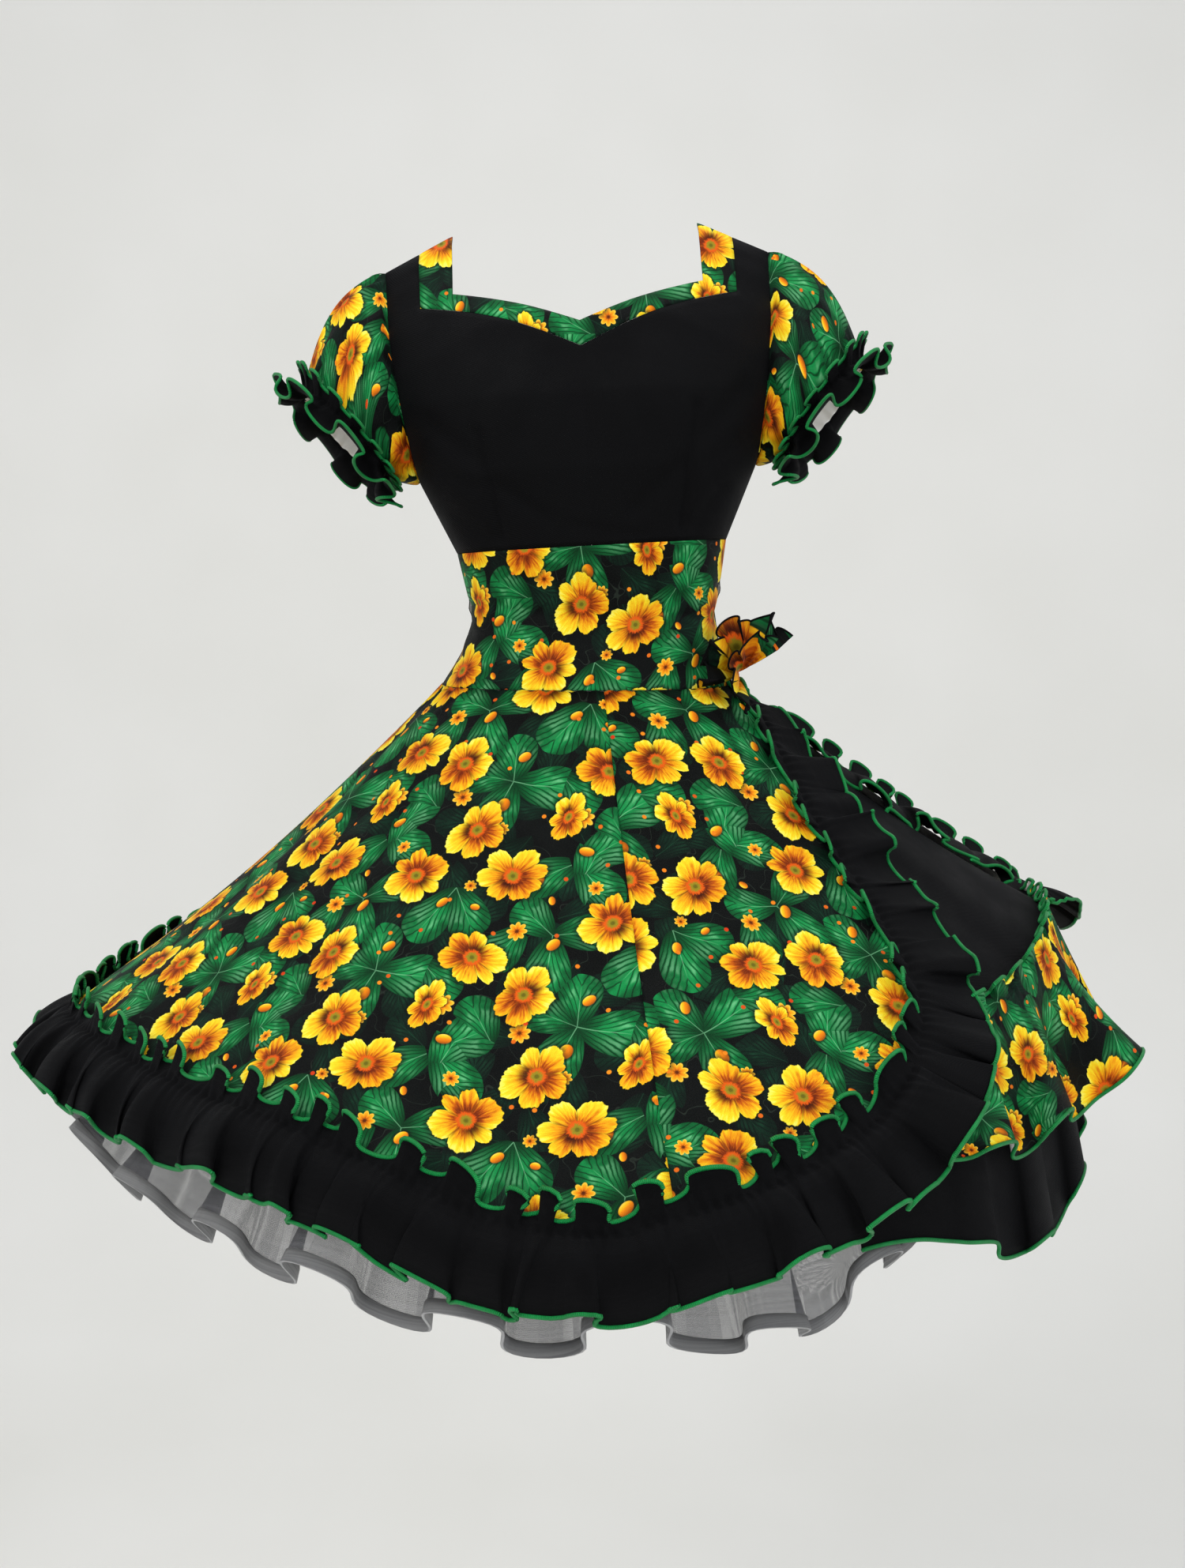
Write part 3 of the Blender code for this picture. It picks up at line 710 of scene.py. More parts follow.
# Buds: x, y, turn, half length, half width
BUDS = [
    (92, 236, 70, 7.5, 5.2), (104, 178, 95, 8.5, 6.6), (206, 176, 30, 8, 5.5), (184, 124, 110, 8, 5),
    (112, 56, 60, 7, 5), (30, 22, 75, 8, 5.6), (146, 66, 20, 5, 3.8), (2, 62, 130, 5, 3.6),
]
# Small flowers: x, y, radius, turn
SMALL = [
    (56, 172, 11.5, 0), (118, 154, 8, 20), (182, 206, 12.5, 40), (30, 98, 8.5, 10), (128, 84, 7, 5),
    (196, 66, 11, 25),
]


def motif(g, place, at, turn, wide, high, mark):
    """The place seen from the nearest repeat of a motif, in its own lengths, with mark in its z."""
    x, y = at
    centre = (x, y - TILE_DROP * x, 0)
    gap = g.vector("SUBTRACT", place, centre)
    gap = g.vector("WRAP", gap, (TILE[0] / 2, TILE[1] / 2, 1), (-TILE[0] / 2, -TILE[1] / 2, -1))
    c, s = cos(radians(turn)), sin(radians(turn))
    straighten = np.array([[1, 0], [TILE_DROP, 1]])
    whole = np.diag([1 / wide, 1 / high]) @ np.array([[c, s], [-s, c]]) @ straighten
    u, sizes, v = np.linalg.svd(whole)
    if np.linalg.det(v) < 0:
        v[1] *= -1
        u[:, 1] *= -1
    gap = g.turned(gap, atan2(v[1, 0], v[0, 0]))
    return g.mapped(gap, (sizes[0], sizes[1], 0), atan2(u[1, 0], u[0, 0]), (0, 0, mark))


def nearest(g, seen, measure):
    """The one of several motifs that lies nearest, and how near."""
    best = seen[0]
    far = measure(best)
    for other in seen[1:]:
        away = measure(other)
        best = g.choose(g.math("LESS_THAN", away, far), best, other)
        far = g.math("MINIMUM", away, far)
    return best, far


def leaf(g, local, dark, light, shine, strength):
    """A broad leaf from its stalk at 0 to its tip at 1: mask and colour."""
    x, y, tone = g.parts(local)
    tone = tone * 10
    x = g.math("MINIMUM", g.math("MAXIMUM", x, 0.0), 1.0)
    side = abs(y)
    half = x ** 0.50 * (1 - x ** 4.0) ** 0.55 * 0.56
    inside = g.step(half - side, 0.0, 0.02)
    rough = g.noise(local, 5.0, 2.0)
    patch = g.noise(local, 2.6, 2.0)
    vein = g.sine((x * 0.50 - side / (x * 0.75 + 0.34) + rough * 0.09) * 48)
    across = side / (half + 0.02)
    colour = g.blend(g.step(across, 0.15, 1.0) * 0.55, light, dark)
    colour = g.blend((1 - tone) * 0.8, colour, dark)
    gleam = g.step(vein, 0.8, -0.7) * g.step(across, 1.0, 0.55)
    gleam = gleam * g.step(x, 0.20, 0.65) * g.step(patch, 0.48, 0.66) * g.step(across, 0.02, 0.40)
    colour = g.blend(gleam * tone * strength, colour, shine)
    colour = g.blend(g.step(vein, 0.55, 1.0) * g.step(x, 0.02, 0.2) * 0.75, colour, dark)
    colour = g.blend(g.step(patch, 0.52, 0.36) * 0.45, colour, dark)
    colour = g.blend(g.step(y, 0.0, -0.06) * 0.32, colour, dark)
    colour = g.blend(g.step(x, 0.45, 0.0) * 0.85, colour, dark)
    rib = g.step(side, 0.012, 0.004) * g.step(x, 0.90, 0.4)
    colour = g.blend(rib * 0.38 * tone, colour, shine)
    return inside, colour


def open_flower(g, local):
    """A flower of five to seven petals: mask, shadow round it and colour."""
    x, y, seed = g.parts(local)
    seed = seed * 10
    r = g.math("SQRT", x * x + y * y)
    turn = g.math("ARCTAN2", y, x)
    uneven = turn + 0.22 * g.sine(turn * 2 + seed * 21) + 0.10 * g.sine(turn * 3 + seed * 40)
    half_count = g.math("GREATER_THAN", seed, 0.4) * 0.5 + 2.5
    petal = abs(g.math("COSINE", uneven * half_count))
    ring = g.joined(g.math("COSINE", turn), g.sine(turn), seed * 9)
    ripple = g.noise(ring, 3.4, 3.0, 0.6)
    edge = 0.56 + 0.32 * petal ** 0.5 + 0.07 * g.sine(turn * 2 + seed * 30) + (ripple - 0.5) * 0.34
    t = r / edge
    inside = g.step(t, 1.0, 0.965)
    shadow = g.step(t, 1.22, 0.98)
    grain = g.noise(g.joined(x / (r + 0.05), y / (r + 0.05), r * 0.22 + seed * 5), 8.0, 3.0, 0.6)
    under = g.step(g.sine(turn + seed * 3), 0.5, -0.9)
    glow = t + (grain - 0.5) * 1.15 - under * 0.30 - 0.06
    colour = g.ramp(glow, [
        (0.0, "#6e2405"), (0.22, "#b9540a"), (0.42, "#e2900e"),
        (0.62, "#ecb818"), (0.82, "#f1d626"), (1.0, "#f3e75c"),
    ])
    crease = g.step(petal, 0.34, 0.02) * g.step(t, 1.05, 0.6)
    colour = g.blend(crease * 0.9, colour, "#7c3b06")
    line = g.step(grain, 0.42, 0.30) * g.step(t, 0.95, 0.35)
    colour = g.blend(line * 0.85, colour, "#8e3c06")
    deep = g.length(g.vector("SUBTRACT", local, (0.13, 0.17, 0)))
    colour = g.blend(g.step(deep, 0.38, 0.08) * 0.92, colour, "#2c0b03")
    crown = r + (grain - 0.5) * 0.22
    colour = g.blend(g.step(crown, 0.27, 0.19), colour, "#d9560f")
    colour = g.blend(g.step(crown, 0.19, 0.10), colour, "#8c7f1c")
    colour = g.blend(g.step(r, 0.09, 0.03) * 0.7, colour, "#4e4a10")
    return inside, shadow, colour


def printed_colour(g):
    """The whole print at a place of the cut."""
    flat = g.vector("SCALE", g.flat())
    flat.socket.node.inputs["Scale"].default_value = 1000
    x, y, _ = g.parts(flat)
    place = g.joined(x, y - TILE_DROP * x)
    ground = g.ramp(g.noise(flat, 0.035, 3.0), [(0.3, "#020303"), (0.7, "#060908")])
    stems = abs(g.noise(flat, 0.026, 1.5) - 0.5)
    colour = g.blend(g.step(stems, 0.006, 0.002) * 0.22, ground, "#3f4b3f")
    # Dim leaves behind, scattered without a repeat
    cells = g.node("ShaderNodeTexVoronoi", voronoi_dimensions="2D")
    g.feed(cells.inputs["Vector"], flat)
    cells.inputs["Scale"].default_value = 1 / 46
    seen = g.vector("SUBTRACT", flat, Value(g, cells.outputs["Position"]))
    shade, spin, _ = g.parts(Value(g, cells.outputs["Color"]))
    seen = g.mapped(g.turned(seen, spin * 6.28), (1 / 52, 1 / 44, 0), 0, (0.5, 0, 0.06))
    inside, dim = leaf(g, seen, "#040d09", "#0a2a1b", "#245a3c", 0.40)
    colour = g.blend(inside * g.step(shade, 0.05, 0.2), colour, dim)
    # Bright leaves
    seen = []
    for x0, y0, way, long, wide, tone in LEAVES:
        seen.append(motif(g, place, (x0, y0), way, long, wide, tone / 10))
    local, _ = nearest(g, seen, lambda s: g.length(g.vector("MULTIPLY_ADD", s, (2, 2, 0), (-1, 0, 0))))
    inside, green = leaf(g, local, "#031a0c", "#128844", "#8fdca2", 0.50)
    colour = g.blend(inside, colour, green)
    # Buds and small flowers
    seen = [motif(g, place, (x0, y0), turn, a, b, 0.05) for x0, y0, turn, a, b in BUDS]
    local, far = nearest(g, seen, g.length)
    high = g.parts(local)[1]
    bud = g.ramp(high * 0.5 + 0.5, [(0.0, "#8c3c06"), (0.5, "#e8820e"), (0.8, "#f9c11e"), (1.0, "#f4d860")])
    colour = g.blend(g.step(far, 1.0, 0.86), g.blend(g.step(far, 1.5, 1.0) * 0.7, colour, "#06110b"), bud)
    seen = [motif(g, place, (x0, y0), turn, a, a, 0.05) for x0, y0, a, turn in SMALL]
    local, far = nearest(g, seen, g.length)
    sx, sy, _ = g.parts(local)
    round_it = g.math("ARCTAN2", sy, sx)
    shape = far / (0.66 + 0.34 * abs(g.math("COSINE", round_it * 4)))
    tiny = g.ramp(shape, [(0.15, "#5c2205"), (0.35, "#d9720c"), (0.75, "#f3a81a"), (1.0, "#f6cf4a")])
    colour = g.blend(g.step(shape, 1.0, 0.9), colour, tiny)
    # Open flowers, and those seen from the side
    seen = [motif(g, place, (x0, y0), turn, r, r, seed / 10) for x0, y0, r, turn, seed in FLOWERS]
    for x0, y0, r, turn, seed, narrow in SIDE_FLOWERS:
        seen.append(motif(g, place, (x0, y0), turn, r, r * narrow, seed / 10))
    local, _ = nearest(g, seen, g.length)
    inside, shadow, yellow = open_flower(g, local)
    colour = g.blend(shadow * 0.75, colour, "#030605")
    colour = g.blend(inside, colour, yellow)
    # A few red and orange specks
    cells = g.node("ShaderNodeTexVoronoi", voronoi_dimensions="2D")
    g.feed(cells.inputs["Vector"], flat)
    cells.inputs["Scale"].default_value = 1 / 30
    pick, hue, _ = g.parts(Value(g, cells.outputs["Color"]))
    speck = g.step(Value(g, cells.outputs["Distance"]) * 30, 2.6, 1.9) * g.math("GREATER_THAN", pick, 0.62)
    colour = g.blend(speck * (1 - inside), colour, g.blend(hue, "#c62d10", "#e98a1a"))
    return colour


def weave(g, pitch, distance):
    """Bump of a plain weave, with the cloth's small unevenness."""
    flat = g.flat()
    x, y, _ = g.parts(flat)
    threads = g.sine(x * (2 * pi / pitch)) * g.sine(y * (2 * pi / pitch))
    slub = g.noise(flat, 260.0, 3.0, 0.6)
    return g.bump(threads * 0.35 + slub, distance)


def make_materials():
    made = {}
    g = Graph("print")
    colour = printed_colour(g)
    fibre = g.noise(g.flat(), 900.0, 2.0)
    colour = g.blend(g.step(fibre, 0.3, 0.75) * 0.010, colour, "#9aa09a")
    rough = g.step(g.noise(g.flat(), 30.0, 2.0), 0.3, 0.7, 0.50, 0.66)
    made["print"] = g.finish(colour, rough, weave(g, 0.0016, 0.0003), 0.0, None, 0.06)

    g = Graph("print_reverse")
    tint = g.clouds(14.0, 3.0, "#dcd9d0", "#f2f0ea")
    made["reverse"] = g.finish(tint, 0.80, weave(g, 0.0016, 0.0003), 0.10, "#ffffff", 0.25)

    g = Graph("black_cloth")
    x, y, _ = g.parts(g.flat())
    twill = g.sine((x + y) * (2 * pi / 0.0021))
    cloud = g.noise(g.flat(), 24.0, 3.0)
    tint = g.ramp(cloud, [(0.3, "#030304"), (0.7, "#070708")])
    # Light flecks: partly the fuzz of worn fibres, partly painted highlights on it.
    tint = g.blend(g.step(g.noise(g.flat(), 1200.0, 1.0), 0.55, 0.8) * 0.06, tint, "#26262a")
    height = twill * 0.25 + g.noise(g.flat(), 380.0, 3.0, 0.6)
    rough = g.step(cloud, 0.3, 0.7, 0.66, 0.80)
    made["black"] = g.finish(tint, rough, g.bump(height, 0.0004), 0.02, "#c8c8d0", 0.07)

    g = Graph("green_edging")
    x, y, _ = g.parts(g.flat())
    wrap = g.sine(x * (2 * pi / 0.0015))
    tint = g.clouds(60.0, 2.0, "#067a36", "#0c9a49")
    # Painted shade: darker stripes in the grooves between the wraps of thread.
    tint = g.blend(g.step(wrap, 0.1, -0.9) * 0.45, tint, "#084a24")
    made["green"] = g.finish(tint, 0.42, g.bump(wrap, 0.0004), 0.03, "#b8ffd0", 0.25)

    g = Graph("petticoat_net")
    x, y, _ = g.parts(g.flat())
    pitch = 2 * pi / 0.0034
    holes = g.sine((x + y * 0.58) * pitch) * g.sine((x - y * 0.58) * pitch)
    cover = g.step(abs(holes), 0.42, 0.10, 0.20, 0.92)
    # The net's own grey, darkened further to paint the shade it lies in under the skirt.
    tint = g.clouds(20.0, 2.0, "#4c4c4f", "#68686b")
    g.feed(g.shader.inputs["Alpha"], cover)
    made["net"] = g.finish(tint, 0.62, None, 0.03, "#ffffff", 0.15)

    g = Graph("satin_binding")
    x, y, _ = g.parts(g.flat())
    # The binding's own pale grey, darkened to paint the shade it lies in under the skirt.
    tint = g.clouds(40.0, 2.0, "#838384", "#acacab")
    ribs = g.sine(x * (2 * pi / 0.0012))
    made["satin"] = g.finish(tint, 0.34, g.bump(ribs, 0.0002), 0.2, "#ffffff", 0.5)
    return made


MATERIALS = make_materials()
# Cloths: outer face, inner face and edge, and a slot name
KINDS = {
    "print": ("print", "reverse", "black", "print"),
    "print_lined": ("print", "black", "black", "print"),
    "black": ("black", "black", "black", "black_cloth"),
    "net": ("net", "net", "net", "net"),
    "satin": ("satin", "satin", "satin", "net"),
    "green": ("green", "green", "green", "black_cloth"),
}


def placed(name, data):
    """A new object in the scene."""
    made = bpy.data.objects.new(name, data)
    bpy.context.scene.collection.objects.link(made)
    return made


def metric(rows, middle=0, ring=False):
    """Flat places of a net in metres: along each row from a middle column, and down the columns."""
    grid = np.array([[p[:] for p in (row + row[:1] if ring else row)] for row in rows])
    along_row = np.linalg.norm(np.diff(grid, axis=1), axis=2)
    u = np.concatenate([np.zeros((len(rows), 1)), np.cumsum(along_row, axis=1)], axis=1)
    u -= u[:, middle:middle + 1]
    down = np.linalg.norm(np.diff(grid, axis=0), axis=2)
    v = -np.concatenate([np.zeros((1, grid.shape[1])), np.cumsum(down, axis=0)], axis=0)
    return np.stack([u, v], axis=2)


def moved(uv, u, v):
    return uv + np.array([u, v])


def cloth(name, node, rows, kind, uv, ring=False, flip=False, wall=CLOTH_WALL, missing=None, offset=-1.0):
    """A thin shell whose outer face is a net of points, rows of columns."""
    wide = len(rows[0])
    points = [p for row in rows for p in row]
    faces, places = [], []
    for j in range(len(rows) - 1):
        for i in range(wide if ring else wide - 1):
            if missing and missing(i, j):
                continue
            k = (i + 1) % wide
            corners = [(j, i, i), (j + 1, i, i), (j + 1, k, i + 1), (j, k, i + 1)]
            if flip:
                corners = corners[::-1]
            faces.append([a * wide + b for a, b, _ in corners])
            places += [uv[a][c] for a, _, c in corners]
    mesh = bpy.data.meshes.new(name)
    mesh.from_pydata(points, [], faces)
    layer = mesh.uv_layers.new(name="cut")
    layer.data.foreach_set("uv", np.array(places, np.float32).ravel())
    bm = bmesh.new()
    bm.from_mesh(mesh)
    bmesh.ops.delete(bm, geom=[v for v in bm.verts if not v.link_faces], context="VERTS")
    bm.to_mesh(mesh)
    bm.free()
    mesh.shade_smooth()
    piece = placed(name, mesh)
    face, back, rim, slot = KINDS[kind]
    for material in (face, back, rim):
        mesh.materials.append(MATERIALS[material])
    if wall:
        shell = piece.modifiers.new("Wall", "SOLIDIFY")
        shell.thickness = wall
        shell.offset = offset
        shell.use_quality_normals = True
        shell.material_offset = 1
        shell.material_offset_rim = 2
    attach(piece, "root")
    if node:
        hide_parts(node)
    return piece


def tube(name, lines, radius, kind="green", ring=False, sides=6):
    """Rolled edges along lines of points, as one piece."""
    points, faces, places = [], [], []
    for line in lines:
        start = len(points)
        count = len(line)
        far = 0.0
        for i, p in enumerate(line):
            ahead = line[(i + 1) % count] if ring else line[min(i + 1, count - 1)]
            behind = line[i - 1] if ring or i else p
            way = (ahead - behind).normalized()
            side = way.cross(Vector((0.013, 0.021, 1))).normalized()
            top = side.cross(way)
            for k in range(sides):
                a = 2 * pi * k / sides
                points.append(p + (side * cos(a) + top * sin(a)) * radius)
            far += (p - line[i - 1]).length if i else 0.0
            places.append(far)
        for i in range(count if ring else count - 1):
            n = (i + 1) % count
            for k in range(sides):
                m = (k + 1) % sides
                here, there = start + i * sides, start + n * sides
                faces.append([here + k, here + m, there + m, there + k])
        if not ring:
            faces.append([start + k for k in range(sides)][::-1])
            faces.append([start + (count - 1) * sides + k for k in range(sides)])
    mesh = bpy.data.meshes.new(name)
    mesh.from_pydata(points, [], faces)
    layer = mesh.uv_layers.new(name="cut")
    index = np.empty(len(mesh.loops), np.int32)
    mesh.loops.foreach_get("vertex_index", index)
    u = np.array(places)[index // sides]
    uv = np.stack([u, (index % sides) * 0.002], axis=1)
    layer.data.foreach_set("uv", uv.astype(np.float32).ravel())
    mesh.shade_smooth()
    piece = placed(name, mesh)
    mesh.materials.append(MATERIALS[KINDS[kind][0]])
    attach(piece, "root")
    return piece


def fold_depth(table, a, b):
    """Depth of listed creases at a place. Each runs from one place to another."""
    total = 0.0
    for a0, b0, a1, b1, depth, wide in table:
        da, db = a1 - a0, b1 - b0
        t = unit(((a - a0) * da + (b - b0) * db) / (da * da + db * db))
        near = ((a - a0 - t * da) ** 2 + (b - b0 - t * db) ** 2) / (wide * wide)
        if near < 9:
            total += depth * exp(-near)
    return total


def spread(first, last, count):
    return [first + (last - first) * i / count for i in range(count + 1)]


# Creases of the bodice and midriff: x, z, x, z, depth and width in metres.
FRONT_CREASES = [
    (-0.118, -0.205, -0.098, -0.322, 0.0034, 0.0055), (0.122, -0.190, 0.100, -0.318, 0.0034, 0.0055),
    (-0.100, -0.262, -0.046, -0.302, 0.0016, 0.008), (0.104, -0.250, 0.050, -0.296, 0.0016, 0.008),
    (-0.172, -0.190, -0.120, -0.236, 0.0022, 0.011), (0.176, -0.172, 0.128, -0.222, 0.0022, 0.011),
    (-0.180, -0.238, -0.126, -0.262, 0.0016, 0.009), (0.180, -0.224, 0.132, -0.250, 0.0016, 0.009),
    (-0.030, -0.132, -0.066, -0.214, 0.0014, 0.013), (0.034, -0.130, 0.060, -0.206, 0.0014, 0.013),
    (-0.020, -0.312, 0.058, -0.326, 0.0010, 0.007), (-0.150, -0.290, -0.112, -0.320, 0.0016, 0.008),
    (0.146, -0.278, 0.114, -0.316, 0.0016, 0.008),
    (-0.140, -0.392, -0.060, -0.404, 0.0017, 0.007), (0.140, -0.386, 0.066, -0.399, 0.0017, 0.007),
    (-0.138, -0.424, -0.090, -0.418, 0.0014, 0.006), (0.140, -0.420, 0.084, -0.414, 0.0016, 0.006),
    (-0.050, -0.372, 0.044, -0.379, 0.0009, 0.009), (0.152, -0.452, 0.104, -0.470, 0.0016, 0.009),
    (-0.152, -0.456, -0.112, -0.474, 0.0014, 0.009), (-0.020, -0.434, 0.060, -0.440, 0.0009, 0.008),
]
BACK_CREASES = [
    (-0.100, -0.190, -0.092, -0.328, 0.0028, 0.0055), (0.100, -0.190, 0.092, -0.328, 0.0028, 0.0055),
    (-0.176, -0.182, -0.126, -0.228, 0.0020, 0.011), (0.176, -0.176, 0.124, -0.222, 0.0020, 0.011),
    (-0.060, -0.286, -0.010, -0.300, 0.0015, 0.008), (0.064, -0.276, 0.012, -0.292, 0.0015, 0.008),
    (-0.140, -0.396, -0.050, -0.410, 0.0019, 0.007), (0.140, -0.390, 0.052, -0.406, 0.0019, 0.007),
    (-0.120, -0.428, -0.020, -0.436, 0.0016, 0.007), (0.122, -0.424, 0.024, -0.434, 0.0016, 0.007),
    (-0.150, -0.300, -0.110, -0.324, 0.0014, 0.008), (0.150, -0.296, 0.112, -0.320, 0.0014, 0.008),
]
# Creases of the skirt: azimuth / 60, share of the slant, then the same of the end, depth in metres, width
SKIRT_CREASES = [
    (-1.42, 0.10, -1.46, 0.95, 0.0050, 0.055), (-1.18, 0.05, -1.10, 1.0, 0.0044, 0.050),
    (-0.92, 0.18, -0.88, 1.0, 0.0052, 0.060), (-0.70, 0.04, -0.62, 0.98, 0.0040, 0.045),
    (-0.45, 0.22, -0.36, 1.05, 0.0050, 0.060), (-0.22, 0.06, -0.16, 1.05, 0.0038, 0.045),
    (0.03, 0.30, 0.00, 1.06, 0.0046, 0.055), (0.22, 0.10, 0.26, 1.05, 0.0046, 0.050),
    (0.42, 0.05, 0.46, 0.96, 0.0040, 0.045), (0.62, 0.22, 0.60, 0.80, 0.0034, 0.050),
    (1.66, 0.22, 1.72, 0.95, 0.0040, 0.050), (1.92, 0.08, 1.98, 1.0, 0.0046, 0.055),
    (2.20, 0.14, 2.24, 1.0, 0.0050, 0.060), (2.50, 0.05, 2.46, 1.0, 0.0042, 0.050),
    (2.76, 0.16, 2.80, 1.0, 0.0048, 0.055), (-2.90, 0.10, -2.86, 1.0, 0.0046, 0.055),
    (-2.62, 0.06, -2.66, 1.0, 0.0050, 0.060), (-2.34, 0.18, -2.30, 1.0, 0.0042, 0.050),
    (-2.06, 0.05, -2.10, 1.0, 0.0048, 0.055), (-1.78, 0.14, -1.74, 1.0, 0.0044, 0.055),
]


def skirt_crease(degrees, share):
    around = (degrees + 180) % 360 - 180
    depth = fold_depth(SKIRT_CREASES, around / 60, share) * min(share / 0.3, 1.0)
    gathers = 0.0011 * exp(-share / 0.05) * sin(radians(degrees) * 62 + 1.5 * sin(radians(degrees) * 5))
    return depth + gathers


def draped(degrees, share, under=0.0):
    """The skirt's outer face with its creases."""
    normal = cone_normal(degrees, share)
    return cone(degrees, share) + normal * (fold(degrees, share) - under - skirt_crease(degrees, share))


def cut_place(degrees, share, middle, start=0.19):
    """A place of the skirt on its flat cut, a sector round the waist."""
    a = radians(degrees - middle) * 0.82
    r = start + SLANT * share
    return (r * sin(a), -r * cos(a))


def skirt_pieces():
    def front_edge(share):
        return straight(FRONT_EDGE, share)

    def back_edge(share):
        return straight(BACK_EDGE, share)

    # Name, first and last edge, cells across, middle of the cut in degrees, flat size, area
    gores = [
        ("skirt_front_left", lambda s: -90, lambda s: FRONT_SEAM, 150, -40, (1.05, 0.62), 0.36),
        ("skirt_front_right", lambda s: FRONT_SEAM, front_edge, 90, 26, (0.62, 0.60), 0.15),
        ("skirt_back_left", lambda s: -180, lambda s: -90, 140, -135, (0.98, 0.62), 0.33),
        ("skirt_back_right", back_edge, lambda s: 180, 130, 138, (0.95, 0.62), 0.30),
    ]
    for name, first, last, cells, middle, size, area in gores:
        net, uv = [], []
        for v in spread(0, 1, 44):
            row, flat = [], []
            for u in spread(0, 1, cells):
                degrees = mix(first(v), last(v), u)
                share = v * panel_length(mix(first(1), last(1), u))
                point = draped(degrees, share)
                seam = min(abs(degrees - FRONT_SEAM), abs(degrees + 90), abs(abs(degrees) - 180))
                if seam < 2:
                    pull = 0.0016 * exp(-((seam / 0.7) ** 2)) * min(share * 8, 1)
                    point -= cone_normal(degrees, share) * pull
                row.append(point)
                flat.append(cut_place(degrees, share, middle))
            net.append(row)
            uv.append(flat)
        piece = cloth("dressed_" + name, name, net, "print", uv)


def fine_ruffle(name, node, line, width, down_share, phase_from, front_droop, high=0.016):
    """The gathered strip on a panel's edge, with its header, puckers and rolled green edges."""
    header = spread(-1, 0, 5)[:-1]
    body_rows = spread(0, 1, 12)
    net = [[] for _ in range(len(header) + len(body_rows))]
    for point, tangent, normal, far in line:
        fall = (normal * normal.z - Vector((0, 0, 1))).normalized()
        from_seam = min(abs(far - phase_from) / 0.18, 1.0)
        out = fall.lerp(tangent.cross(normal), from_seam).normalized()
        phase = 2 * pi * (far - phase_from) / HEM_WAVE
        uneven = phase + 0.7 * sin(phase * 0.23 + 1.1)
        quick = 2 * pi * (far - phase_from) / 0.047 + 1.5 * sin(phase * 0.37 + 2.0) + 0.9 * sin(phase * 0.81)
        wide = width(far)
        share = wide / HEM_WIDTH
        droop = 0.15 + front_droop * max(-normal.y / hypot(normal.x, normal.y), 0.0)
        droop *= down_share(far)
        if front_droop == 0:
            droop = max(droop, 0.24 * (1 - down_share(far)) + 0.15 * down_share(far))
        base = point - normal * skirt_crease(*place_on_skirt(point))
        pucker = 2 * pi * far / 0.0115 + 1.3 * sin(far * 41) + 0.8 * sin(far * 17)
        for j, v in enumerate(header):
            v = -v
            flip = 0.5 + 0.5 * sin(quick)
            tall = HEM_HEADER * v * (1.10 + 0.46 * sin(quick + 0.6) + 0.22 * sin(0.43 * quick))
            lift = STITCHING + 0.0175 * v ** 1.1 * flip + 0.0008 * sin(pucker) * (1 - v)
            swing = tangent * (-0.0062 * v * sin(2 * quick))
            net[j].append(base - out * tall + normal * lift + swing)
        for j, v in enumerate(body_rows):
            reach = out * cos(droop * v) - normal * sin(droop * v)
            broad = 0.40 * sin(uneven / 2 + 0.6) + 0.66 * sin(uneven + 0.4)
            lift = STITCHING + 0.0013 * min(v * 20, 1) + high * share * v ** 0.8 * (0.55 + 0.75 * broad)
            lift += 0.0058 * share * v ** 0.7 * sin(quick + 0.7)
            lift += 0.0013 * sin(pucker) * exp(-v / 0.25) + 0.0012 * v * sin(2.3 * quick + 1)
            swing = tangent * (v * share * (-0.0125 * sin(2 * uneven + 0.8) - 0.0030 * sin(2 * quick + 1.4)))
            net[len(header) + j].append(base + reach * (wide * v) + normal * lift + swing)
    uv = metric(net)
    piece = cloth(name, node, net, "black", uv)
    edges = tube(name + "_edging", [net[0], net[-1]], EDGING)
    return net


def place_on_skirt(point):
    """Azimuth and share of the slant of a point of the skirt, near enough for its creases."""
    degrees = np.degrees(np.arctan2(point.x, -point.y))
    top = waist_point(degrees)
    low_radius, _ = hem_row(degrees)
    r = hypot(point.x, point.y)
    near = hypot(top.x, top.y)
    return degrees, (r - near) / max(low_radius - near, 1e-6)


def fine_split(path, count, split, pieces, side_end):
    """One gathered strip in two pieces, on the same line as the solids."""
    line, length = ruffle_line(path, count, 0.03 if side_end else 0.012)
    corner = line[split][3]

    def wide(far):
        to_end = length - far if side_end else far
        share = unit((far - corner + 0.10) / 0.20)
        side = SIDE_WIDTH * (0.33 + 0.67 * min(to_end / 0.14, 1.0))
        return mix(HEM_WIDTH, side, share if side_end else 1 - share)

    def down(far):
        return unit((corner - far if side_end else far - corner) / 0.25)

    phase_from = 0.0 if side_end else length
    parts = [line[: split + 1], line[split:]]
    for cut, (name, node, flat) in zip(parts, pieces):
        fine_ruffle(name, node, cut, wide, down, phase_from, 0.50 if side_end else 0.0)


def hem_pieces():
    front = [
        ("hem_frill_front", "hem_ruffle_front", (1.60, 0.108)),
        ("side_frill_front", "side_ruffle_front", (0.66, 0.084)),
    ]
    fine_split(front_path, 882, 616, front, True)
    back = [
        ("side_frill_back", "side_ruffle_back", (0.33, 0.084)),
        ("hem_frill_back", "hem_ruffle_back", (2.30, 0.108)),
    ]
    fine_split(back_path, 1232, 168, back, False)


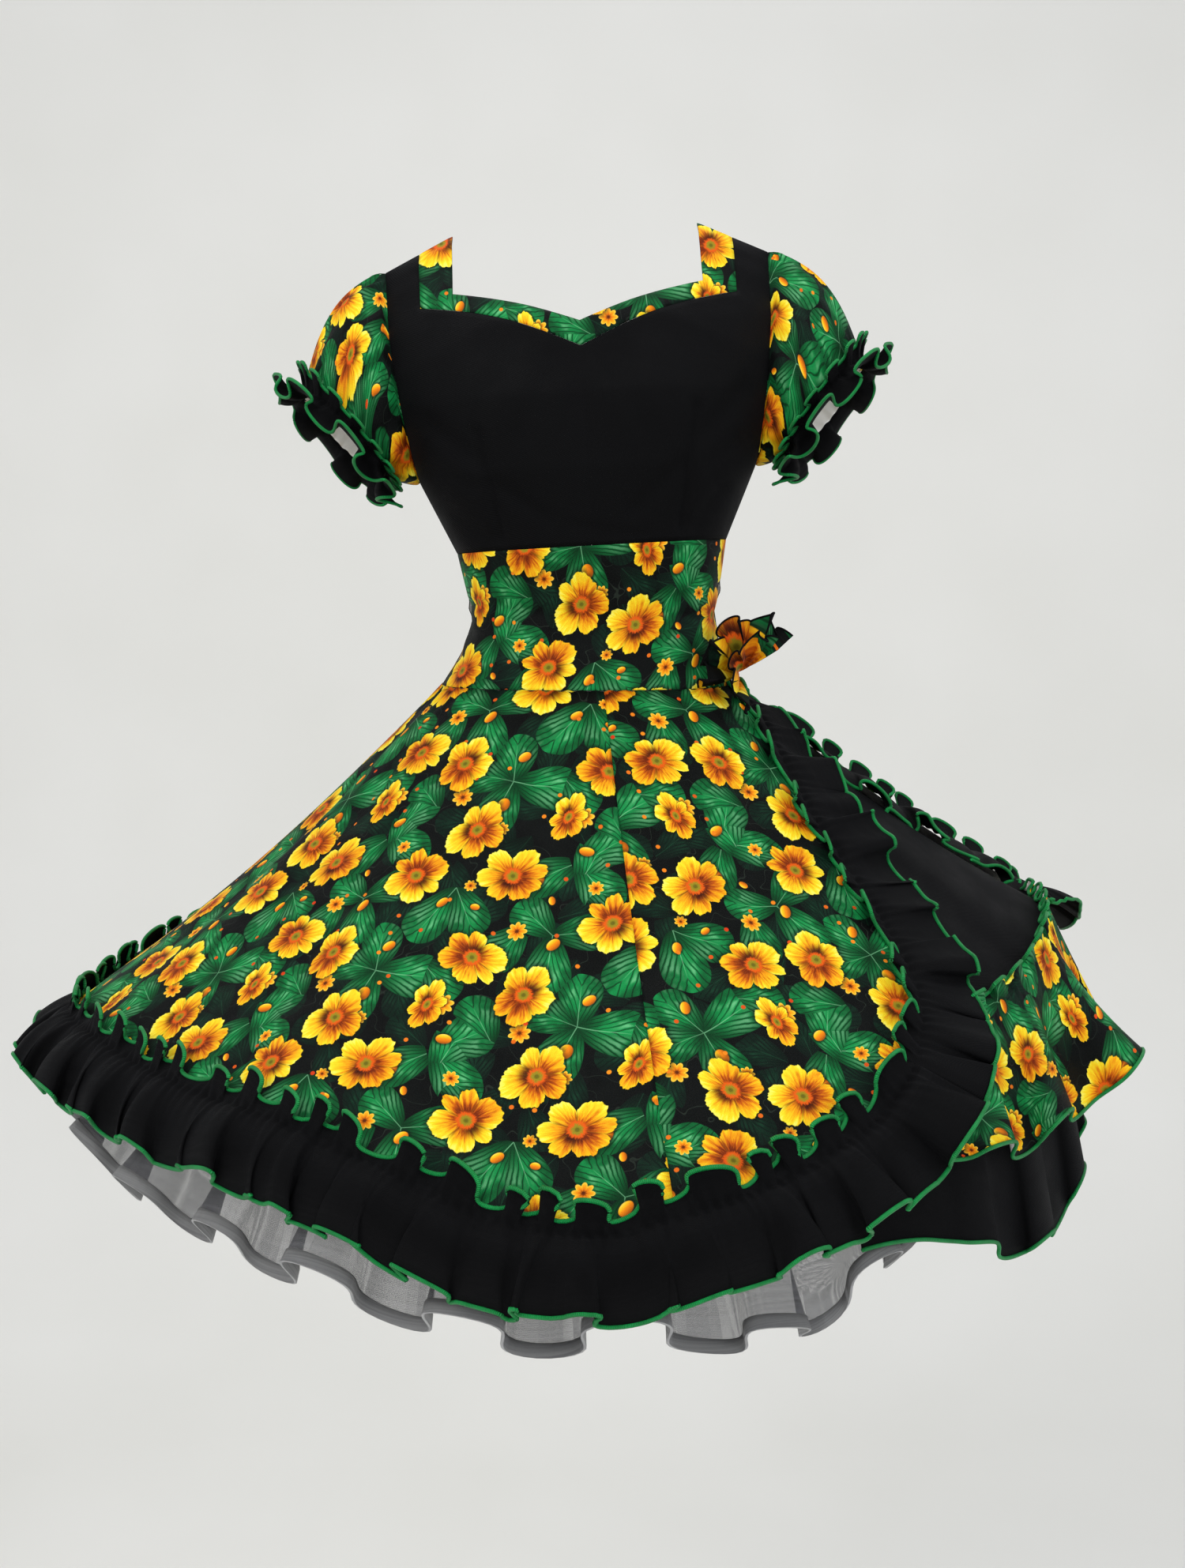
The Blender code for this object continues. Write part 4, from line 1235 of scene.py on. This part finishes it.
def under_pieces():
    turns = spread(24, 128, 110)
    net = [[inside_waist(d, 0.0029) for d in turns]]
    uv = [[cut_place(d, 0, 76) for d in turns]]
    for s in spread(0.05, UNDERSKIRT_END, 30):
        ripple = 0.0032 * min(s / 0.3, 1)
        row = []
        for d in turns:
            wave = 0.5 + 0.5 * sin(d * 0.42 + 0.8 * sin(d * 0.11))
            row.append(layer(UNDERSKIRT_IN, d, s) - cone_normal(d, s) * ripple * wave)
        net.append(row)
        uv.append([cut_place(d, s, 76) for d in turns])
    piece = cloth("dressed_underskirt", "underskirt", net, "black", uv)


def fine_flounce(name, node, kind, top, low, above, high, drop, first, last, header, crest, waves):
    """A gathered tier in the opening, with a frilled header where it has one and a rolled green edge."""
    shares = spread(top, low, 26)
    heads = []
    if header:
        heads = spread(top - header / SLANT, top, 5)[:-1]
    net = []
    uv = []
    for s in heads + shares:
        v = max((s - top) / (low - top), 0.0)
        h = max((top - s) / (header / SLANT), 0.0) if header else 0.0
        row = []
        for degrees in spread(first, last, 260):
            u = (degrees - first) / (last - first)
            phase = 2 * pi * waves * u + 0.8 * sin(5 * u)
            calm = free(degrees)
            quick = 2 * pi * u * 17 + 1.2 * sin(9 * u)
            pucker = 2 * pi * u * 66 + 1.4 * sin(23 * u)
            edge = 0.017 * h * calm * (0.5 + 0.5 * sin(quick))
            lift = above + edge + high * calm * v * sin(phase) + 0.0009 * sin(pucker) * exp(-v / 0.2)
            lift += 0.0032 * calm * v * sin(quick * 0.7 + 1)
            push = crest * v * v * exp(-(((degrees - CREST_AT) / 9) ** 2))
            a = radians(degrees - 0.60 * h * calm * sin(2 * quick) - 1.1 * v * calm * sin(2 * phase))
            point = layer(UNDERSKIRT_IN, np.degrees(a), s) + cone_normal(degrees, s) * lift
            down = drop * v ** 1.1 * (0.56 + 0.44 * between(degrees, 27, 60, 400, 401))
            row.append(point + Vector((push * sin(a), -push * cos(a), -down)))
        net.append(row)
    for j, row in enumerate(net):
        far = 0.0 if j == 0 else far + (row[130] - net[j - 1][130]).length
        uv.append([(radians(d - 72) * 0.82 * (0.62 + far), -far) for d in spread(first, last, 260)])
    piece = cloth(name, node, net, kind, uv)
    lines = [net[-1]] + ([net[0]] if header else [])
    edges = tube(name + "_edging", lines, EDGING)


def petticoat_pieces():
    turns = spread(-180, 180, 180)[:-1]
    net = [[inside_waist(d, 0.0060) for d in turns]]
    for s in spread(0.05, FRILL_TOP - 0.0012, 22):
        row = []
        for d in turns:
            ripple = sin(d * 0.55 + 2 * sin(d * 0.1))
            row.append(petticoat_point(d, s) + cone_normal(d, s) * 0.002 * s * ripple)
        net.append(row)
    uv = metric(net, ring=True)
    piece = cloth("petticoat_body", "petticoat_cone", net, "net", uv, ring=True, wall=NET_WALL)
    columns = FRILL_LOOPS * 26
    levels = spread(0, 1, 16)
    net = [[] for _ in levels]
    for i in range(columns):
        u = i / columns
        phase = 2 * pi * FRILL_LOOPS * u
        degrees = 360 * u - 180
        reach = along(FRILL_EDGE, degrees)
        for j, high in enumerate(levels):
            share = mix(FRILL_TOP, reach, high)
            swing = -1.30 * high * sin(2 * phase)
            place = petticoat_point(degrees + swing, share)
            wave = sin(phase)
            wave += 0.22 * sin(0.5 * phase + 0.8)
            place += cone_normal(degrees, share) * (0.030 * high * wave - 0.019 * high)
            place.z -= 0.008 * high + 0.003 * high * sin(phase * 0.5 + 1)
            net[j].append(place)
    uv = metric(net, ring=True)
    frill = cloth("petticoat_loops", "petticoat_frill", net, "net", uv, ring=True, wall=NET_WALL)
    rim = []
    for t in (0.0, 0.5, 1.0):
        row = []
        for low, high in zip(net[-1], net[-5]):
            way = (high - low).normalized()
            row.append(low + way * (0.0125 * (1 - t)) - way * 0.0006)
        rim.append(row)
    uv = metric(rim, ring=True)
    bound = cloth("petticoat_binding", None, rim, "satin", uv, ring=True, wall=BINDING_WALL, offset=0.0)


# Creases of the sleeves: turn, share of the length, then the same of the end, depth in metres, width
SLEEVE_CREASES = [
    (0.02, 0.10, 0.05, 0.62, 0.0040, 0.020), (0.12, 0.06, 0.16, 0.70, 0.0042, 0.022),
    (0.21, 0.12, 0.24, 0.80, 0.0036, 0.022), (0.31, 0.10, 0.33, 0.74, 0.0040, 0.022),
    (0.42, 0.16, 0.40, 0.82, 0.0034, 0.022), (0.56, 0.14, 0.58, 0.80, 0.0034, 0.022),
    (0.66, 0.08, 0.69, 0.74, 0.0042, 0.022), (0.77, 0.10, 0.78, 0.66, 0.0038, 0.022),
    (0.88, 0.06, 0.90, 0.72, 0.0040, 0.022), (0.95, 0.30, 0.97, 0.92, 0.0030, 0.018),
    (0.08, 0.46, 0.07, 0.95, 0.0032, 0.018), (0.27, 0.50, 0.29, 0.96, 0.0028, 0.018),
]


def fine_sleeve_point(side, turn, v):
    point = sleeve_point(side, turn, v)
    a = 2 * pi * turn
    out = out_of_sleeve(side, turn)
    head = 0.0020 * exp(-v / 0.12) * sin(a * 27 + 2 * sin(a * 3)) * min(v * 25, 1)
    cuff_end = 0.0022 * exp(-(1 - v) / 0.15) * sin(a * 24 + 1.6 * sin(a * 4))
    depth = fold_depth(SLEEVE_CREASES, turn % 1.0, v)
    depth += fold_depth(SLEEVE_CREASES, turn % 1.0 - 1, v) + fold_depth(SLEEVE_CREASES, turn % 1.0 + 1, v)
    return point + out * (head + cuff_end - depth * sin(pi * v))


def sleeve_pieces():
    for side, name in ((-1, "left"), (1, "right")):
        net = []
        for v in spread(0, 1, 40):
            net.append([fine_sleeve_point(side, 0.5 + i / 200, v) for i in range(200)])
        middle = sum(net[0], Vector((0, 0, 0))) / 200
        tucked = []
        for p in net[0]:
            inward = Vector((0, middle.y - p.y, middle.z - p.z)).normalized()
            tucked.append(p + inward * 0.0019 - Vector((side * 0.0035, 0, 0)))
        net.insert(0, tucked)
        uv = moved(metric(net, 100, ring=True), 0.05 * side, 0.03)
        if side > 0:
            uv[:, :, 0] *= -1
        piece = cloth(f"puff_{name}", f"sleeve_{name}", net, "print", uv, ring=True, flip=side > 0)
        cuff_piece(side, name)


def cuff_piece(side, name):
    """The frill round a cuff, in deep folds, with a header on the sleeve and both edges rolled."""
    _, axis, up, front = cuff_frame(side)
    columns = CUFF_WAVES * 44
    head = spread(-1, 0, 5)[:-1]
    low = spread(0, 1, 12)
    net = [[] for _ in head + low]
    for i in range(columns):
        turn = i / columns
        a = 2 * pi * turn
        out = out_of_sleeve(side, turn)
        round_it = (front * cos(a) - up * sin(a)).normalized()
        phase = 2 * pi * CUFF_WAVES * turn + 0.5 * sin(a * 2)
        quick = phase * 2 + 0.6 * sin(a * 3)
        wave = 0.5 + 0.5 * sin(phase)
        pucker = sin(a * 52 + 2 * sin(a * 5))
        base = sleeve_point(side, turn, 0.97)
        for j, v in enumerate(head):
            v = -v
            at = sleeve_point(side, turn, 0.97 - 0.09 * v * (1 + 0.15 * sin(quick)))
            lift = STITCHING + 0.0005 * pucker * (1 - v) + 0.0150 * v ** 1.1 * (0.55 + 0.45 * sin(quick))
            net[j].append(at + out * lift + round_it * (-0.0044 * v * sin(2 * quick)))
        for j, v in enumerate(low):
            swing = round_it * (-0.0088 * v * sin(2 * phase))
            flare = 0.75 * v
            away = axis * cos(flare) + out * sin(flare)
            up_off = out * cos(flare) - axis * sin(flare)
            reach = away * CUFF_WIDTH * v * (1 + 0.06 * sin(3 * a) + 0.05 * sin(quick))
            lift = 0.0026 + 0.025 * v ** 0.9 * (wave - 0.32) + 0.0007 * pucker * exp(-v / 0.25)
            lift += 0.0022 * v * sin(quick + 1.0)
            net[len(head) + j].append(base + reach + up_off * lift + swing)
    uv = metric(net, ring=True)
    piece = cloth(f"cuff_{name}", f"cuff_ruffle_{name}", net, "black", uv, ring=True, flip=side > 0)
    edges = tube(f"cuff_{name}_edging", [net[0], net[-1]], CUFF_EDGING, ring=True)


def creased(x, z, back):
    """The body's surface with its creases, which sink into it."""
    point = body(x, z, back)
    depth = fold_depth(BACK_CREASES if back else FRONT_CREASES, x, z)
    across = body(x + 0.001, z, back) - body(x - 0.001, z, back)
    inward = Vector((0, 0, 1)).cross(across).normalized()
    if inward.y * point.y > 0 and abs(point.y) > 0.02:
        inward = -inward
    return point + inward * depth * CREASE_GAIN


def body_pieces():
    for back in (False, True):
        band_piece(back)
    columns = across_body(60, 14)
    dip = len(columns)
    rows_up = 10
    half = (dip - 1) // 2
    for back in (False, True):
        net = []
        for j in range(rows_up + 45):
            row = []
            for a in columns:
                c = sin(a)
                shoulder = shoulder_z(c * SHOULDER_HALF) - SHOULDER_GAP
                side = abs(a) >= EDGE_SHARE - 1e-6
                start = band_low(STRAP_OUT, back) if side else band_low(c * SHOULDER_HALF, back)
                if j < rows_up:
                    z = mix(shoulder, start, j / rows_up)
                else:
                    z = mix(start, BODICE_Z + SEAM, (j - rows_up) / 44)
                point = creased(c * armhole(z), z, back)
                row.append(off_shoulder(point, j == 0, back))
            net.append(row)
        uv = metric(net, half)
        if not back:
            gone = lambda i, j: j < rows_up and 14 <= i < dip - 15
            piece = cloth("front_bodice", "bodice_front", net, "black", uv, missing=gone)
            continue
        for side, name in ((0, "left"), (1, "right")):
            part = [[p.copy() for p in (row[: half + 1] if side == 0 else row[half:])] for row in net]
            for row in part:
                row[-1 if side == 0 else 0].x += 0.00010 * (2 * side - 1)
            flats = uv[:, : half + 1] if side == 0 else uv[:, half:]
            if side == 0:
                gone = lambda i, j: j < rows_up and i >= 14
            else:
                gone = lambda i, j: j < rows_up and i < half - 14
            node = f"bodice_back_{name}"
            piece = cloth(f"back_bodice_{name}", node, part, "black", flats, missing=gone, flip=True)
    for back in (False, True):
        net = []
        for z in spread(BODICE_Z - SEAM, WAIST_SEAM_Z + SEAM, 40):
            row = [creased(sin(a) * section(z, 1), z, back) for a in spread(-pi / 2, pi / 2, 110)]
            net.append(row)
        name = "back" if back else "front"
        uv = moved(metric(net, 55), 0.11, -0.04)
        piece = cloth(f"midriff_{name}_cloth", f"midriff_{name}", net, "print", uv, flip=back)


def across_body(centre_cells, side_cells):
    """Columns of the body as angles from -90 to 90 degrees, with one at each edge of the neck band."""
    side = spread(EDGE_SHARE, pi / 2, side_cells)
    centre = spread(-EDGE_SHARE, EDGE_SHARE, centre_cells)
    return [-a for a in side[::-1]][:-1] + centre + side[1:]


def band_piece(back):
    """The printed band: two straps and the piece between them, with a turned edge."""
    across = spread(0, 1, 8)

    def raised(point, w):
        """Rolls the band's edges down."""
        out = Vector((0, 1 if back else -1, 0.25)).normalized()
        return point + out * (0.0012 * (1 - (2 * w - 1) ** 6))

    def strap(side):
        pieces = []
        for t in spread(0, 1, 24)[:-1]:
            row = []
            for w in across:
                corner = mix(neck_in(STRAP_IN, back), band_low(STRAP_OUT, back) + SEAM, w)
                z = mix(shoulder_z(STRAP_OUT * w + STRAP_IN * (1 - w)) - SHOULDER_GAP, corner, t)
                x = side * strap_x(z, w, back)
                row.append(raised(off_shoulder(body(x, z, back), t == 0, back), w))
            pieces.append(row)
        return pieces

    middle = []
    for a in spread(-EDGE_SHARE, EDGE_SHARE, 90):
        c = sin(a) / sin(EDGE_SHARE)
        row = []
        for w in across:
            x = c * strap_x(band_low(STRAP_OUT, back), w, back)
            z = mix(neck_in(c * STRAP_IN, back), band_low(c * STRAP_OUT, back) + SEAM, w)
            row.append(raised(body(x, z, back), w))
        middle.append(row)
    strip = strap(-1) + middle + strap(1)[::-1]
    name = "back" if back else "front"
    flat = [[(0.03 + p.x * 1.05, 0.02 + p.z * 1.05) for p in row] for row in strip]
    node = f"neck_band_{name}"
    piece = cloth(f"neckline_{name}", node, strip, "print", flat, flip=not back, wall=BAND_WALL)


def bow_pieces():
    for fan, node in ((BOW_FANS[0], "bow_back_fan"), (BOW_FANS[1], "bow_front_fan")):
        columns = fan[4] * 34
        net = []
        for v in spread(0, 1, 18):
            net.append([bow_point(fan, i / columns, v) for i in range(columns + 1)])
        places = moved(metric(net, columns // 2) * 0.5, 0.157, 0.137)
        piece = cloth(node + "_cloth", node, net, "print_lined", places, flip=True)
        edge = tube(node + "_edge", [net[-1]], BOW_EDGING, "black")
    place, normal = bow_anchor()
    middle = place + normal * (BOW_NECK + 0.0005)
    side = normal.cross(Vector((0, 0, 1))).normalized()
    top = side.cross(normal)
    net = []
    for v in spread(0.03, 0.97, 12):
        row = []
        for i in range(40):
            a = 2 * pi * i / 40
            r = BOW_NECK * sin(pi * v) * (1 + 0.10 * sin(a * 8))
            row.append(middle + (side * cos(a) + top * sin(a)) * r + normal * (BOW_NECK * cos(pi * v)))
        net.append(row)
    cloth("bow_gathers", "bow_knot", net, "print_lined", metric(net, ring=True), ring=True, wall=0.0)


def stage_pieces():
    """A pale floor that rises in a curve behind the dress, and soft light."""
    points, faces = [], []
    rows = []
    for i in range(41):
        t = i / 40
        if t < 0.5:
            rows.append((-4.0 + 12.4 * t, -2.7))
        elif t < 0.8:
            a = (t - 0.5) / 0.3 * pi / 2
            rows.append((2.2 + 1.6 * sin(a), -2.7 + 1.6 * (1 - cos(a))))
        else:
            rows.append((3.8, -1.1 + (t - 0.8) / 0.2 * 5.2))
    for y, z in rows:
        points += [(-6, y, z), (6, y, z)]
    for i in range(40):
        faces.append((2 * i, 2 * i + 1, 2 * i + 3, 2 * i + 2))
    mesh = bpy.data.meshes.new("backdrop")
    mesh.from_pydata(points, [], faces)
    mesh.shade_smooth()
    backdrop = placed("backdrop", mesh)
    g = Graph("backdrop")
    coordinates = g.node("ShaderNodeTexCoord")
    paper = g.noise(Value(g, coordinates.outputs["Object"]), 1.2, 2.0)
    mesh.materials.append(g.finish(g.ramp(paper, [(0.3, "#e3e2dc"), (0.7, "#e8e7e2")]), 0.9))
    world = bpy.data.worlds.new("world")
    bpy.context.scene.world = world
    world.use_nodes = True
    world.node_tree.nodes["Background"].inputs[0].default_value = (0.93, 0.95, 1.0, 1)
    world.node_tree.nodes["Background"].inputs[1].default_value = 0.78
    lights = [
        ("key", (-1.9, -2.6, 1.9), 2.2, 62, (1.0, 0.98, 0.95)),
        ("fill", (2.4, -2.2, 0.6), 2.4, 30, (0.95, 0.97, 1.0)),
        ("top", (0.0, 0.4, 2.6), 2.6, 34, (1.0, 1.0, 1.0)),
        ("low", (0.0, -2.4, -1.2), 1.8, 8, (1.0, 1.0, 1.0)),
    ]
    for name, place, size, power, colour in lights:
        data = bpy.data.lights.new(name, "AREA")
        data.shape = "DISK"
        data.size = size
        data.energy = power
        data.color = colour
        light = placed(name, data)
        light.location = place
        aim = Vector((0, 0, -0.5)) - Vector(place)
        light.rotation_euler = aim.to_track_quat("-Z", "Y").to_euler()


body_pieces()
sleeve_pieces()
skirt_pieces()
hem_pieces()
under_pieces()
FLOUNCE_TOP = UNDERSKIRT_END + 0.001
fine_flounce(
    "flounce_printed", "printed_flounce", "print",
    top=FLOUNCE_TOP + 0.003, low=0.90, above=0.0021, high=0.019, drop=0.110,
    first=29, last=110, header=0.016, crest=0.050, waves=6,
)
fine_flounce(
    "flounce_black", "black_flounce", "black",
    top=FLOUNCE_TOP - 0.011, low=0.90, above=-0.0032, high=0.012, drop=0.225,
    first=27, last=108, header=0.0, crest=0.0, waves=6,
)
petticoat_pieces()
bow_pieces()
stage_pieces()
bpy.context.view_layer.update()
